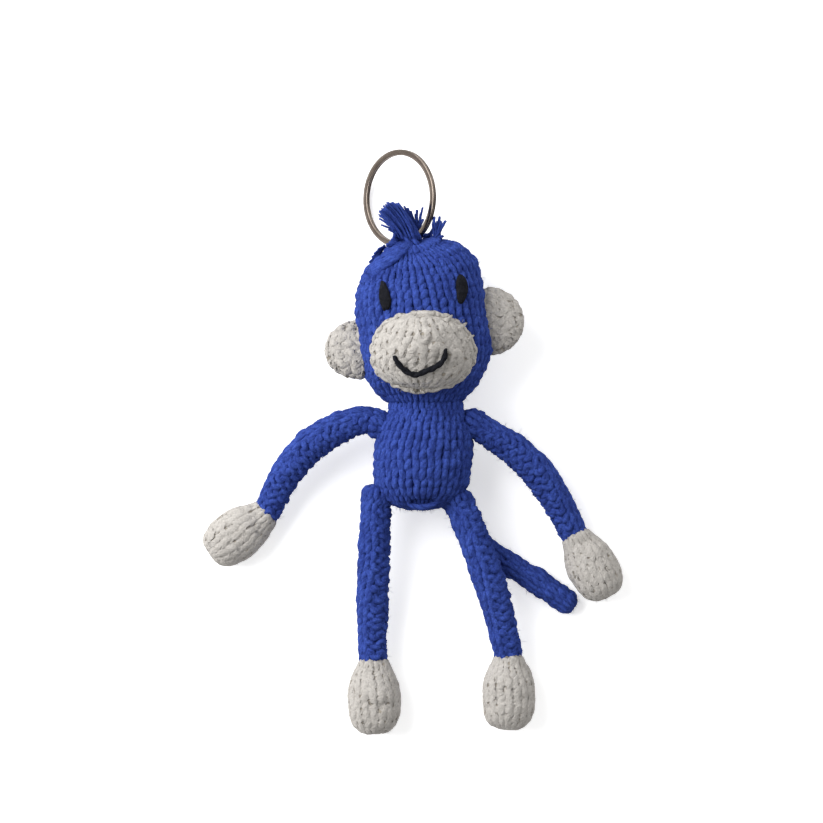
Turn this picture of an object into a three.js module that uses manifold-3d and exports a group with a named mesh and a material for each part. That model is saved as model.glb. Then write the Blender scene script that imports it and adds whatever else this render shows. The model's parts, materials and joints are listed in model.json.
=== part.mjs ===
// Knitted monkey on a split key ring.
//
// The toy lies on its back on a table. +X is its left side, +Y is towards its head and
// +Z is up from the table. The origin is on the table, under the middle of the body.
// Lengths are in millimetres and angles in degrees.

import * as THREE from 'three';
import { mergeVertices } from 'three/addons/utils/BufferGeometryUtils.js';
import Module from 'manifold-3d';

const wasm = await Module();
wasm.setup();

// Driving dimensions

// Table
const tableSide = 400; // more than the toy covers
const tableDepth = 20;

// Clearances and fabric
const seatGap = 0.3; // between pieces that lie on each other
const tableFlat = 0.5; // depth of the flat where a stuffed piece lies on the table
const knitThickness = 2.3; // one layer of the knitted fabric
const crownThickness = 5; // the gathered fabric at the top of the head

// Body
const torsoHalfWidth = 14.8;
const torsoHalfDepth = 13;
const torsoReachUp = 20; // from the widest place, were the neck not drawn in
const torsoReachDown = 16.2;
const torsoFullness = 2.6; // 2 is an ellipse, and more is squarer
const torsoSeatFullness = 2.8; // in width, below the widest place
const torsoSeatDepthFullness = 2.1;
const torsoLean = 3.5; // the top leans to the toy's left

// Neck
const neckHeight = 16.4;
const neckOffsetX = 0.6;
const neckOffsetZ = 0.8; // in front of the middle of the body
const neckRadius = 10.2;
const neckOpening = 10; // half angle of the groove that lets the head nod

// Head
const headHalfWidth = 20;
const headHalfDepth = 17.5;
const headReachUp = 25.3;
const headReachDown = 29; // from the widest place, were the neck not drawn in
const headFullness = 2.6;
const headChinFullness = 2.3; // below the widest place
const headCrownFullness = 2; // in depth, above the widest place
const headCentreX = 0;
const headSlump = 0.8; // how far the stuffing sags to either side
const headSlumpLength = 52; // of the whole S that this makes
const headSlumpMiddle = -3; // where the S crosses the middle
const headAboveNeck = 25.5; // from the neck to the widest place

// Face, placed from the middle of the head
const muzzleX = 0.1;
const muzzleY = -9.2;
const muzzleHalfWidth = 15.2;
const muzzleHalfHeight = 12.3;
const muzzleFullness = 2.3;
const muzzleBulge = 5.2;
const noseBulge = 2.6;
const noseHeight = 4.5; // above the middle of the muzzle
const noseSpread = 5;
const mouthYarnRadius = 0.75;
// Points of the mouth, from the muzzle's middle
const smile = [[-6.7, -0.4], [-4.3, -4.1], [-1.7, -5.6], [3.5, -3.3], [5.2, 1.1]];
const eyeHalfHeight = 4.3;
const eyeBulge = 0.8;
const earReach = 11; // how far an ear stands out of the head
const earHalfThickness = 3.6;
const earBehindMiddle = 1;

// Split ring and the yarn that holds it
const ringOuterDiameter = 30;
const ringBand = 1.8; // wire width across the band
const ringWireThickness = 0.65; // of one turn
const ringTurnGap = 0.42; // between the two turns
const ringEdge = 0.25; // how far the wire's edges are rounded
const ringJogAngle = 30; // the wire changes level within this angle
const ringEndAngle = 4; // from each wire end to the jog
const ringJogPlace = -90; // at the bottom of the ring, in the yarn loop
const ringTilt = 43.6; // about the ring's own upright
const ringLoopX = -7.2; // where the loop leaves the crown, from the middle of the head
const ringSeat = 1.1; // from the crown to the middle of the wire
const ringSwingBack = -60; // towards the toy's back
const ringSwingForward = 20; // where it meets the tuft
const loopYarnRadius = 0.75;
const loopInnerRadius = 1.85;

// Tuft of yarn ends
const tuftX = -3.9; // from the middle of the head
const tuftZ = 3.5;
const tuftKnotRadius = 1.9;
const tuftStrands = 12;
const tuftLength = 11;
const tuftFanLeft = -62; // lean of the first strand, to the toy's right
const tuftFanRight = 20;
const tuftYarnRadius = 0.55;

// Seams where the limbs are gathered and sewn on
const seamRadius = 4.5;
const seamStandoff = 0.7; // from the body's surface to the middle of the seam
const limbLift = 75; // up from the table, as far as a limb folds
const rootRoomLength = 10; // of the dents that a folded limb finds in the body

// Arms and hands
const armRootRadius = 4.4;
const armMiddleRadius = 5.1;
const wristRadius = 4.4;
const handLength = 22.3;
const handHalfWidth = 7.8;
const handHalfDepth = 6.2;
const wristFlex = 25;
const endFullness = 2.6; // of the rounded ends of the hands and feet

// Legs and feet
const legRootRadius = 4.5;
const legMiddleRadius = 4.8;
const ankleRadius = 4.3;
const footLength = 23.8;
const footHalfWidth = 8.1;
const footHalfDepth = 7.2;
const ankleFlex = 30;

// Tail
const tailHalfWidth = 3.9;
const tailHalfDepth = 3.6;
const tailRootX = 6.5;
const tailRootY = -10.5;
// Points of the tail, from its root
const tailPath = [[5.2, -5.1], [8.3, -11.4], [12.1, -16.7], [17.3, -20.5], [29.3, -27.6], [37.5, -33.5]];

// Each limb runs from its seam through these points, which are measured from the seam.
// The third value is how much of the seam's height above the table is left there.
// inwards is how far the limb swings along the table towards the body.
const limbs = {
  right_arm: {
    side: -1, height: 10.7, kind: 'arm', heading: 216, inwards: 32,
    path: [[-5.6, 0.8, 0.98], [-18.1, -4.8, 0.72], [-28.2, -15.3, 0.35], [-34.4, -27.6, 0]],
  },
  left_arm: {
    side: 1, height: 10.8, kind: 'arm', heading: -61, inwards: 0,
    path: [[5.2, -3.1, 0.98], [17.1, -11.5, 0.72], [25.8, -23.2, 0.35], [31.7, -34.5, 0]],
  },
  right_leg: {
    side: -1, height: -11.2, kind: 'leg', heading: -88.5, inwards: 10,
    path: [[-0.5, -5.2, 0.95], [-0.9, -17.5, 0.6], [-1.6, -34.3, 0.15], [-1.4, -49.8, 0]],
  },
  left_leg: {
    side: 1, height: -12.8, kind: 'leg', heading: -90, inwards: 10,
    path: [[2.3, -5.4, 1], [6.9, -17.6, 'over the tail'], [11.1, -29.9, 0.6], [15.2, -46.7, 0]],
  },
};

// across is a share of the head's half width, and y is measured from the head's middle.
const eyes = {
  right_eye: { across: -0.59, y: 8.3, halfWidth: 1.6, lean: 8 },
  left_eye: { across: 0.575, y: 9.8, halfWidth: 1.7, lean: 2 },
};

const ears = {
  right_ear: { side: -1, y: -8.5, halfHeight: 9.6 },
  left_ear: { side: 1, y: 0.2, halfHeight: 11 },
};

// Facet counts
const headSides = 24;
const bodySides = 20;
const innerSides = 14;
const limbSides = 10;
const seatSides = 12;
const skinSteps = 5; // rings on each rounded half of a form
const innerSteps = 3;
const endSteps = 4;
const ringStepsPerTurn = 28;
const capTurns = [65, 35]; // degrees from the middle of a rounded end to its rings

const cotton = new THREE.MeshStandardMaterial({ color: 0x3a50aa, roughness: 0.95, metalness: 0 });
const cream = new THREE.MeshStandardMaterial({ color: 0xcdcac4, roughness: 0.95, metalness: 0 });
const black = new THREE.MeshStandardMaterial({ color: 0x16161c, roughness: 0.8, metalness: 0 });
const fibre = new THREE.MeshStandardMaterial({ color: 0xf0efea, roughness: 1, metalness: 0 });
const steel = new THREE.MeshStandardMaterial({ color: 0x96908a, roughness: 0.3, metalness: 1 });

const degrees = Math.PI / 180;
const up = new THREE.Vector3(0, 0, 1);

// Solids

function toSolid(geometry) {
  const bare = geometry.clone();
  bare.deleteAttribute('normal');
  bare.deleteAttribute('uv');
  const merged = mergeVertices(bare, 1e-5);
  return new wasm.Manifold(new wasm.Mesh({
    numProp: 3,
    vertProperties: new Float32Array(merged.attributes.position.array),
    triVerts: new Uint32Array(merged.index.array),
  }));
}

function toGeometry(solid) {
  const mesh = solid.getMesh();
  const geometry = new THREE.BufferGeometry();
  geometry.setAttribute('position', new THREE.BufferAttribute(mesh.vertProperties, 3));
  geometry.setIndex(new THREE.BufferAttribute(mesh.triVerts, 1));
  return geometry;
}

function cut(solid, ...tools) {
  return tools.reduce((left, tool) => left.subtract(tool), solid);
}

function middleOf(points) {
  return points.reduce((sum, p) => sum.add(p), new THREE.Vector3()).divideScalar(points.length);
}

// Joins closed rings of points into one skin and closes both ends on their middles.
function loft(rings) {
  const sides = rings[0].length;
  const points = [middleOf(rings[0]), ...rings.flat(), middleOf(rings[rings.length - 1])];
  const last = points.length - 1;
  const index = [];
  for (let i = 0; i < sides; i++) {
    const next = (i + 1) % sides;
    index.push(0, 1 + next, 1 + i);
    for (let r = 0; r < rings.length - 1; r++) {
      const a = 1 + r * sides;
      const b = a + sides;
      index.push(a + i, a + next, b + next);
      index.push(a + i, b + next, b + i);
    }
    index.push(last, last - sides + i, last - sides + next);
  }
  const geometry = new THREE.BufferGeometry();
  const coordinates = points.flatMap((p) => p.toArray());
  geometry.setAttribute('position', new THREE.Float32BufferAttribute(coordinates, 3));
  geometry.setIndex(signedVolume(points, index) < 0 ? index.reverse() : index);
  return toSolid(geometry);
}

function signedVolume(points, index) {
  let sum = 0;
  for (let i = 0; i < index.length; i += 3) {
    const [a, b, c] = [points[index[i]], points[index[i + 1]], points[index[i + 2]]];
    sum += a.dot(new THREE.Vector3().crossVectors(b, c));
  }
  return sum / 6;
}

function ball(centre, radius, sides = seatSides) {
  const geometry = new THREE.SphereGeometry(radius, sides, sides / 2 + 1);
  return toSolid(geometry.translate(centre.x, centre.y, centre.z));
}

// A faceted ball or rod whose flats, not its corners, are at the radius, for cutting seats.
function seatBall(centre, radius, sides = seatSides) {
  const inset = Math.cos(Math.PI / sides) * Math.cos(Math.PI / (sides + 2));
  return ball(centre, radius / inset, sides);
}

function seatRod(from, direction, radius, length, sides = limbSides) {
  const geometry = new THREE.CylinderGeometry(1, 1, length, sides);
  const outer = radius / Math.cos(Math.PI / sides);
  geometry.scale(outer, 1, outer).translate(0, length / 2, 0);
  const turn = new THREE.Quaternion().setFromUnitVectors(new THREE.Vector3(0, 1, 0), direction);
  geometry.applyQuaternion(turn);
  return toSolid(geometry.translate(from.x, from.y, from.z));
}

const tableSlab = new THREE.BoxGeometry(tableSide, tableSide, tableDepth);
const belowTable = toSolid(tableSlab.translate(0, 0, -tableDepth / 2));

// Stuffed forms that stand along Y, such as the head and the body

function swell(share, fullness) {
  return Math.pow(Math.max(0, 1 - Math.pow(Math.abs(share), fullness)), 1 / fullness);
}

// One such form with its skin moved inwards by inset, or outwards when that is negative.
function formWith(form, inset, crownInset = inset) {
  return {
    ...form,
    halfWidth: form.halfWidth - inset,
    halfDepth: form.halfDepth - inset,
    reachUp: form.reachUp - crownInset,
    reachDown: form.reachDown - inset,
  };
}

// The middle, half width and half depth of a form at height y above its widest place.
function sectionAt(form, y) {
  const reach = y > 0 ? form.reachUp : form.reachDown;
  const widthFullness = y > 0 ? form.fullnessUp : form.fullnessDown;
  const depthFullness = y > 0 ? form.depthFullnessUp : form.depthFullnessDown;
  return {
    middle: form.centre.clone().add(new THREE.Vector3(form.sideways(y), y, form.sway(y))),
    halfWidth: form.halfWidth * swell(y / reach, widthFullness),
    halfDepth: form.halfDepth * swell(y / reach, depthFullness),
  };
}

function formPoint(form, y, angle) {
  const { middle, halfWidth, halfDepth } = sectionAt(form, y);
  return middle.add(new THREE.Vector3(halfWidth * Math.cos(angle), 0, halfDepth * Math.sin(angle)));
}

function formNormal(form, y, angle) {
  const step = 0.01;
  const along = formPoint(form, y + step, angle).sub(formPoint(form, y - step, angle));
  const around = formPoint(form, y, angle + step).sub(formPoint(form, y, angle - step));
  return along.cross(around).normalize();
}

function formSolid(form, sides, steps) {
  const rings = [];
  for (let i = 1 - 2 * steps; i < 2 * steps; i++) {
    const turn = (i / (2 * steps)) * (Math.PI / 2);
    const reach = i > 0 ? form.reachUp : form.reachDown;
    const fullness = i > 0 ? form.fullnessUp : form.fullnessDown;
    const y = Math.sign(i) * reach * Math.pow(Math.abs(Math.sin(turn)), 2 / fullness);
    rings.push(Array.from({ length: sides }, (_, k) => formPoint(form, y, (k / sides) * 2 * Math.PI)));
  }
  return loft(rings);
}

// Height of the front of a form over the table, at x and y measured from its centre.
function frontHeight(form, x, y) {
  const { middle, halfWidth, halfDepth } = sectionAt(form, y);
  const across = (form.centre.x + x - middle.x) / halfWidth;
  return middle.z + halfDepth * Math.sqrt(Math.max(0, 1 - across * across));
}

// Height along Y of the top of a form, at x and z measured from its centre.
function topHeight(form, x, z) {
  let low = 0;
  let high = form.reachUp;
  for (let i = 0; i < 40; i++) {
    const y = (low + high) / 2;
    const { middle, halfWidth, halfDepth } = sectionAt(form, y);
    const across = (form.centre.x + x - middle.x) / halfWidth;
    const through = (form.centre.z + z - middle.z) / halfDepth;
    if (Math.hypot(across, through) < 1) low = y;
    else high = y;
  }
  return form.centre.y + low;
}

const torso = {
  centre: new THREE.Vector3(0, 0, torsoHalfDepth - tableFlat),
  halfWidth: torsoHalfWidth,
  halfDepth: torsoHalfDepth,
  reachUp: torsoReachUp,
  reachDown: torsoReachDown,
  fullnessUp: torsoFullness,
  fullnessDown: torsoSeatFullness,
  depthFullnessUp: torsoFullness,
  depthFullnessDown: torsoSeatDepthFullness,
  sideways: (y) => y * Math.tan(torsoLean * degrees),
  sway: () => 0,
};

const neck = new THREE.Vector3(neckOffsetX, neckHeight, torso.centre.z + neckOffsetZ);
const headZ = headHalfDepth - tableFlat;

const head = {
  centre: new THREE.Vector3(headCentreX, neckHeight + headAboveNeck, headZ),
  halfWidth: headHalfWidth,
  halfDepth: headHalfDepth,
  reachUp: headReachUp,
  reachDown: headReachDown,
  fullnessUp: headFullness,
  fullnessDown: headChinFullness,
  depthFullnessUp: headCrownFullness,
  depthFullnessDown: headChinFullness,
  sideways: (y) => -headSlump * Math.sin((2 * Math.PI * (y - headSlumpMiddle)) / headSlumpLength),
  sway: (y) => (neck.z - headZ) * THREE.MathUtils.smoothstep(-y, headAboveNeck * 0.3, headAboveNeck),
};

// Face pieces that lie on the head

const aroundHead = formSolid(formWith(head, -seatGap), headSides, skinSteps);

// How far a place is from the middle of an oval, from 0 there to 1 at its edge.
function ovalShare(x, y, halfWidth, halfHeight, fullness) {
  const across = Math.abs(x / halfWidth) ** fullness;
  const along = Math.abs(y / halfHeight) ** fullness;
  return Math.pow(across + along, 1 / fullness);
}

// A patch over an oval of the head. inner and outer give its two skins' heights over the
// head, from the place in the oval: x and y from its middle, and share from 0 to 1 at its edge.
function facePatch(patch) {
  const { x, y, halfWidth, halfHeight, fullness = 2, lean = 0, inner, outer, sides, steps } = patch;
  const turn = lean * degrees;
  const skins = [outer, inner].map((height) => {
    const rings = [];
    for (let i = 1; i <= steps; i++) {
      const share = Math.sin((i / steps) * (Math.PI / 2));
      rings.push(Array.from({ length: sides }, (_, k) => {
        const angle = (k / sides) * 2 * Math.PI;
        const reach = share / ovalShare(Math.cos(angle), Math.sin(angle), 1, 1, fullness);
        const px = halfWidth * reach * Math.cos(angle);
        const py = halfHeight * reach * Math.sin(angle);
        const lx = px * Math.cos(turn) - py * Math.sin(turn);
        const ly = px * Math.sin(turn) + py * Math.cos(turn);
        return onHead(x + lx, y + ly, height(lx, ly, share));
      }));
    }
    return rings;
  });
  return loft([...skins[0], ...skins[1].reverse()]);
}

// A point at a height over the front of the head, measured square to its skin.
function onHead(x, y, height) {
  const step = 0.05;
  const slopeX = (frontHeight(head, x + step, y) - frontHeight(head, x - step, y)) / (2 * step);
  const slopeY = (frontHeight(head, x, y + step) - frontHeight(head, x, y - step)) / (2 * step);
  const normal = new THREE.Vector3(-slopeX, -slopeY, 1).normalize();
  const foot = new THREE.Vector3(head.centre.x + x, head.centre.y + y, frontHeight(head, x, y));
  return foot.addScaledVector(normal, height);
}

// Where a patch starts before the head is cut away from it.
function underSkin() {
  return -knitThickness;
}

// Outer skin of the muzzle over the head, with the nose at its upper middle.
function muzzleHeight(x, y, share) {
  const nose = Math.exp(-(x * x + (y - noseHeight) ** 2) / (2 * noseSpread * noseSpread));
  const dome = Math.pow(Math.max(0, 1 - share * share), 0.6);
  return seatGap + 0.5 * knitThickness + (muzzleBulge - 0.5 * knitThickness + noseBulge * nose) * dome;
}

function muzzleShare(x, y) {
  return ovalShare(x, y, muzzleHalfWidth, muzzleHalfHeight, muzzleFullness);
}

const muzzleOval = { x: muzzleX, y: muzzleY, fullness: muzzleFullness, sides: 20 };

const muzzleStuffing = facePatch({
  ...muzzleOval,
  halfWidth: muzzleHalfWidth - knitThickness - seatGap,
  halfHeight: muzzleHalfHeight - knitThickness - seatGap,
  inner: underSkin,
  outer: (x, y) => Math.max(2 * seatGap, muzzleHeight(x, y, muzzleShare(x, y)) - knitThickness - seatGap),
  steps: 3,
}).subtract(aroundHead);

const muzzleHollow = facePatch({
  ...muzzleOval,
  halfWidth: muzzleHalfWidth - knitThickness,
  halfHeight: muzzleHalfHeight - knitThickness,
  inner: () => 2 * underSkin(),
  outer: (x, y) => Math.max(3 * seatGap, muzzleHeight(x, y, muzzleShare(x, y)) - knitThickness),
  steps: 3,
});

const muzzleKnit = facePatch({
  ...muzzleOval,
  halfWidth: muzzleHalfWidth,
  halfHeight: muzzleHalfHeight,
  inner: underSkin,
  outer: muzzleHeight,
  steps: 5,
}).subtract(muzzleHollow).subtract(aroundHead);

function tube(points, radius, sides, steps) {
  const curve = new THREE.CatmullRomCurve3(points);
  const section = new THREE.Shape();
  section.absarc(0, 0, radius, 0, 2 * Math.PI);
  const options = { steps, curveSegments: sides, extrudePath: curve, bevelEnabled: false };
  return toSolid(new THREE.ExtrudeGeometry(section, options));
}

const smileCurve = new THREE.CatmullRomCurve3(smile.map(([x, y]) => new THREE.Vector3(x, y, 0)));
const mouthRoute = smileCurve.getPoints(12).map(({ x, y }) => {
  const height = muzzleHeight(x, y, muzzleShare(x, y)) + seatGap + mouthYarnRadius;
  return onHead(muzzleX + x, muzzleY + y, height);
});
const mouthYarn = tube(mouthRoute, mouthYarnRadius, 6, 14);

function eye({ across, y, halfWidth, lean }) {
  return facePatch({
    x: across * headHalfWidth, y, halfWidth, lean,
    halfHeight: eyeHalfHeight,
    inner: underSkin,
    outer: (_x, _y, share) => 2 * seatGap + eyeBulge * Math.sqrt(Math.max(0, 1 - share * share)),
    sides: 12,
    steps: 3,
  }).subtract(aroundHead);
}

function ear({ side, y, halfHeight }) {
  const edge = sectionAt(head, y);
  const geometry = new THREE.SphereGeometry(1, 16, 8).rotateX(Math.PI / 2);
  geometry.scale(earReach, halfHeight, earHalfThickness);
  geometry.translate(edge.middle.x + side * edge.halfWidth, edge.middle.y, edge.middle.z - earBehindMiddle);
  return toSolid(geometry).subtract(aroundHead);
}

// Split ring: one flat wire wound twice, which changes level where its ends lie

const wireRadius = (ringOuterDiameter - ringBand) / 2;
const turnOffset = (ringWireThickness + ringTurnGap) / 2;
const ringHalfThickness = turnOffset + ringWireThickness / 2;
const ringAcross = new THREE.Vector3(Math.cos(ringTilt * degrees), 0, Math.sin(ringTilt * degrees));
const ringAxis = new THREE.Vector3(-Math.sin(ringTilt * degrees), 0, Math.cos(ringTilt * degrees));
const loopZ = (ringOuterDiameter / 2) * ringAcross.z + ringHalfThickness * ringAxis.z;
const loopY = topHeight(head, ringLoopX, loopZ - headZ) + ringSeat;
const loopCentre = new THREE.Vector3(head.centre.x + ringLoopX, loopY, loopZ);
const ringCentre = loopCentre.clone().add(new THREE.Vector3(0, wireRadius, 0));

// The level of the wire at an angle along it.
function wireLevel(angle) {
  const climb = THREE.MathUtils.smoothstep(angle, 360 - ringJogAngle / 2, 360 + ringJogAngle / 2);
  return turnOffset * (2 * climb - 1);
}

function wirePoint(angle) {
  const turn = (angle + ringJogPlace) * degrees;
  const outwards = new THREE.Vector3(0, Math.sin(turn), 0).addScaledVector(ringAcross, Math.cos(turn));
  const middle = ringCentre.clone()
    .addScaledVector(outwards, wireRadius)
    .addScaledVector(ringAxis, wireLevel(angle));
  return { middle, outwards };
}

const wireSection = [
  [ringBand / 2, ringWireThickness / 2 - ringEdge],
  [ringBand / 2 - ringEdge, ringWireThickness / 2],
  [ringEdge - ringBand / 2, ringWireThickness / 2],
  [-ringBand / 2, ringWireThickness / 2 - ringEdge],
  [-ringBand / 2, ringEdge - ringWireThickness / 2],
  [ringEdge - ringBand / 2, -ringWireThickness / 2],
  [ringBand / 2 - ringEdge, -ringWireThickness / 2],
  [ringBand / 2, ringEdge - ringWireThickness / 2],
];

const wireStart = ringJogAngle / 2 + ringEndAngle;
const wireEnd = 720 - ringJogAngle / 2 - ringEndAngle;
const wireSteps = Math.round(((wireEnd - wireStart) / 360) * ringStepsPerTurn);
const wireAngles = Array.from(
  { length: wireSteps + 1 },
  (_, i) => wireStart + ((wireEnd - wireStart) * i) / wireSteps,
);

const splitRing = loft(wireAngles.map((angle) => {
  const { middle, outwards } = wirePoint(angle);
  return wireSection.map(([across, along]) => middle.clone()
    .addScaledVector(outwards, across)
    .addScaledVector(ringAxis, along));
}));

// Least room between the two turns, on points of their facing sides.
function leastTurnGap() {
  let least = Infinity;
  for (let angle = wireStart; angle + 360 <= wireEnd; angle += 1) {
    const rise = wireLevel(angle + 360) - wireLevel(angle);
    least = Math.min(least, rise - ringWireThickness);
  }
  return least;
}
console.log(`least gap between the ring's turns: ${leastTurnGap().toFixed(3)} mm`);

function turnedTorus(centre, axis, radius, tubeRadius, sides, steps) {
  const geometry = new THREE.TorusGeometry(radius, tubeRadius, sides, steps);
  geometry.applyQuaternion(new THREE.Quaternion().setFromUnitVectors(up, axis));
  return toSolid(geometry.translate(centre.x, centre.y, centre.z));
}

const loopRadius = loopInnerRadius + loopYarnRadius;
const ringLoop = turnedTorus(loopCentre, ringAcross, loopRadius, loopYarnRadius, 6, 18);
const loopSeat = turnedTorus(loopCentre, ringAcross, loopRadius, loopYarnRadius + 1.5 * seatGap, 8, 24)
  .add(seatBall(loopCentre, loopRadius));
// Dents in the crown, where the ring lies and where it swings to.
const wireSeatRadius = Math.hypot(ringBand / 2, ringHalfThickness) + seatGap;
const wireSeats = [ringSwingBack, 0, ringSwingForward].map((swing) => {
  const turn = new THREE.Quaternion().setFromAxisAngle(ringAcross, swing * degrees);
  const centre = new THREE.Vector3(0, wireRadius, 0).applyQuaternion(turn).add(loopCentre);
  return turnedTorus(centre, ringAxis.clone().applyQuaternion(turn), wireRadius, wireSeatRadius, 8, 24);
});

// Tuft: yarn ends knotted on the crown, fanned mostly to the toy's right

const tuftY = topHeight(head, tuftX, tuftZ) + 0.4 * tuftKnotRadius;
const tuftRoot = new THREE.Vector3(head.centre.x + tuftX, tuftY, headZ + tuftZ);

function tuftStrand(i) {
  const share = i / (tuftStrands - 1);
  const lean = THREE.MathUtils.lerp(tuftFanLeft, tuftFanRight, share) * degrees;
  const forward = (0.24 * Math.sin(i * 2.4) + 0.2);
  const length = tuftLength * (0.92 + 0.13 * Math.sin(i * 1.7));
  const aim = new THREE.Vector3(Math.sin(lean), Math.cos(lean), forward).normalize();
  const start = tuftRoot.clone();
  const middle = start.clone().addScaledVector(aim, length * 0.5).add(new THREE.Vector3(0, length * 0.07, 0));
  const end = start.clone().addScaledVector(aim, length);
  const curve = new THREE.QuadraticBezierCurve3(start, middle, end);
  const rings = [0, 0.5, 1].map((at) => {
    const tangent = curve.getTangent(at);
    const sideways = new THREE.Vector3().crossVectors(tangent, up).normalize();
    const over = new THREE.Vector3().crossVectors(sideways, tangent);
    const radius = tuftYarnRadius * (1 - 0.55 * at);
    return [90, 210, 330].map((turn) => curve.getPoint(at)
      .addScaledVector(sideways, radius * Math.cos(turn * degrees))
      .addScaledVector(over, radius * Math.sin(turn * degrees)));
  });
  return loft(rings);
}

let hairTuft = ball(tuftRoot, tuftKnotRadius, 8);
for (let i = 0; i < tuftStrands; i++) hairTuft = hairTuft.add(tuftStrand(i));
hairTuft = hairTuft.subtract(aroundHead);

// Limbs

// A knitted tube with round ends along a curve, with a radius for each place along it.
function limbSolid(curve, radiusAt, flatten = 1, steps = 8) {
  const rings = [];
  const addRing = (at, along, share) => {
    const tangent = curve.getTangentAt(at);
    const sideways = new THREE.Vector3().crossVectors(tangent, up).normalize();
    const over = new THREE.Vector3().crossVectors(sideways, tangent);
    const radius = radiusAt(at);
    const middle = curve.getPointAt(at).addScaledVector(tangent, along * radius);
    rings.push(Array.from({ length: limbSides }, (_, k) => {
      const angle = (k / limbSides) * 2 * Math.PI;
      return middle.clone()
        .addScaledVector(sideways, radius * share * Math.cos(angle))
        .addScaledVector(over, radius * share * flatten * Math.sin(angle));
    }));
  };
  for (const turn of capTurns) addRing(0, -Math.sin(turn * degrees), Math.cos(turn * degrees));
  for (let i = 0; i <= steps; i++) addRing(i / steps, 0, 1);
  for (const turn of [...capTurns].reverse()) {
    addRing(1, Math.sin(turn * degrees), Math.cos(turn * degrees));
  }
  return loft(rings);
}

// A stuffed hand or foot along a heading, from its root to its rounded end.
function stuffedEnd(root, along, { length, halfWidth, halfDepth, endRadius }, inset = 0) {
  const sideways = new THREE.Vector3().crossVectors(along, up);
  const rootShare = endRadius / halfWidth;
  const places = [];
  for (let i = 0; i < endSteps; i++) places.push(0.5 * (i / endSteps));
  for (let i = 0; i < endSteps; i++) {
    places.push(0.5 + 0.5 * Math.pow(Math.sin((i / endSteps) * (Math.PI / 2)), 2 / endFullness));
  }
  return loft(places.map((at) => {
    const narrow = at < 0.5
      ? rootShare + (1 - rootShare) * Math.sin(Math.PI * at)
      : swell((at - 0.5) / 0.5, endFullness);
    const middle = root.clone().addScaledVector(along, at * (length - inset));
    return Array.from({ length: limbSides }, (_, k) => {
      const angle = (k / limbSides) * 2 * Math.PI;
      return middle.clone()
        .addScaledVector(sideways, (halfWidth - inset) * narrow * Math.cos(angle))
        .addScaledVector(up, (halfDepth - inset) * narrow * Math.sin(angle));
    });
  }));
}

const sizes = {
  arm: {
    rootRadius: armRootRadius, middleRadius: armMiddleRadius, endRadius: wristRadius,
    length: handLength, halfWidth: handHalfWidth, halfDepth: handHalfDepth,
    flexAxis: () => up, flexes: [-wristFlex, 0, wristFlex],
  },
  leg: {
    rootRadius: legRootRadius, middleRadius: legMiddleRadius, endRadius: ankleRadius,
    length: footLength, halfWidth: footHalfWidth, halfDepth: footHalfDepth,
    flexAxis: (along) => new THREE.Vector3(along.y, -along.x, 0), flexes: [0, ankleFlex],
  },
};

const armRimRadius = seamRadius + seatGap; // the limb's cupped root, round its seam
const seatRadius = armRimRadius + seatGap; // the dent in the body, round both

const tailZ = tailHalfDepth - tableFlat;
const tailTop = tailZ + tailHalfDepth;
const tailRoot = new THREE.Vector3(tailRootX, tailRootY, tailZ);

// A limb's seam, tube, hand or foot, and the stuffing in that.
function makeLimb({ side, height, kind, heading, path, inwards }) {
  const size = sizes[kind];
  const angle = side < 0 ? Math.PI : 0;
  const seam = formPoint(torso, height, angle)
    .addScaledVector(formNormal(torso, height, angle), seamStandoff);
  const endZ = size.halfDepth - tableFlat;
  const heightAt = (share) => (share === 'over the tail'
    ? tailTop + seatGap + size.middleRadius
    : THREE.MathUtils.lerp(endZ, seam.z, share));
  const points = path.map(([x, y, share]) => new THREE.Vector3(seam.x + x, seam.y + y, heightAt(share)));
  const curve = new THREE.CatmullRomCurve3([seam, ...points]);
  const radiusAt = (at) => {
    const [from, to] = at < 0.5 ? [size.rootRadius, size.middleRadius] : [size.middleRadius, size.endRadius];
    return THREE.MathUtils.lerp(from, to, THREE.MathUtils.smoothstep(at < 0.5 ? at * 2 : at * 2 - 1, 0, 1));
  };
  const joint = points[points.length - 1];
  const tangent = curve.getTangentAt(1);
  const along = new THREE.Vector3(Math.cos(heading * degrees), Math.sin(heading * degrees), 0);
  const seat = seatBall(joint, size.endRadius + seatGap);
  const room = size.flexes.map((turn) => {
    const back = tangent.clone().negate().applyAxisAngle(size.flexAxis(along), -turn * degrees);
    return seatRod(joint, back, size.endRadius + seatGap, 3 * size.endRadius);
  });
  const end = (inset) => stuffedEnd(joint, along, size, inset);
  const rootSeat = seatBall(seam, armRimRadius);
  const reach = joint.clone().sub(seam).setZ(0).normalize();
  const liftAxis = new THREE.Vector3(reach.y, -reach.x, 0);
  const rest = curve.getPointAt(0.12).sub(seam).normalize();
  const folded = [
    rest.clone().applyAxisAngle(liftAxis, limbLift * degrees),
    rest.clone().applyAxisAngle(liftAxis, 0.5 * limbLift * degrees),
    rest.clone().applyAxisAngle(up, -side * inwards * degrees),
  ];
  const roomAt = (grow) => folded.reduce(
    (room, aim) => room.add(seatRod(seam, aim, size.rootRadius + seatGap + grow, rootRoomLength + grow)),
    seatBall(seam, seatRadius + grow),
  );
  return {
    seam, joint, along,
    seamSolid: ball(seam, seamRadius),
    tubeSolid: cut(limbSolid(curve, radiusAt), rootSeat),
    endSolid: cut(end(0), end(knitThickness), seat, ...room, belowTable),
    stuffingSolid: cut(end(knitThickness + seatGap), seat, ...room),
    bodyRoom: roomAt(0),
    bodyWall: roomAt(knitThickness),
    stuffingWall: roomAt(knitThickness + seatGap),
  };
}

const made = Object.fromEntries(Object.entries(limbs).map(([name, limb]) => [name, makeLimb(limb)]));

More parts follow.
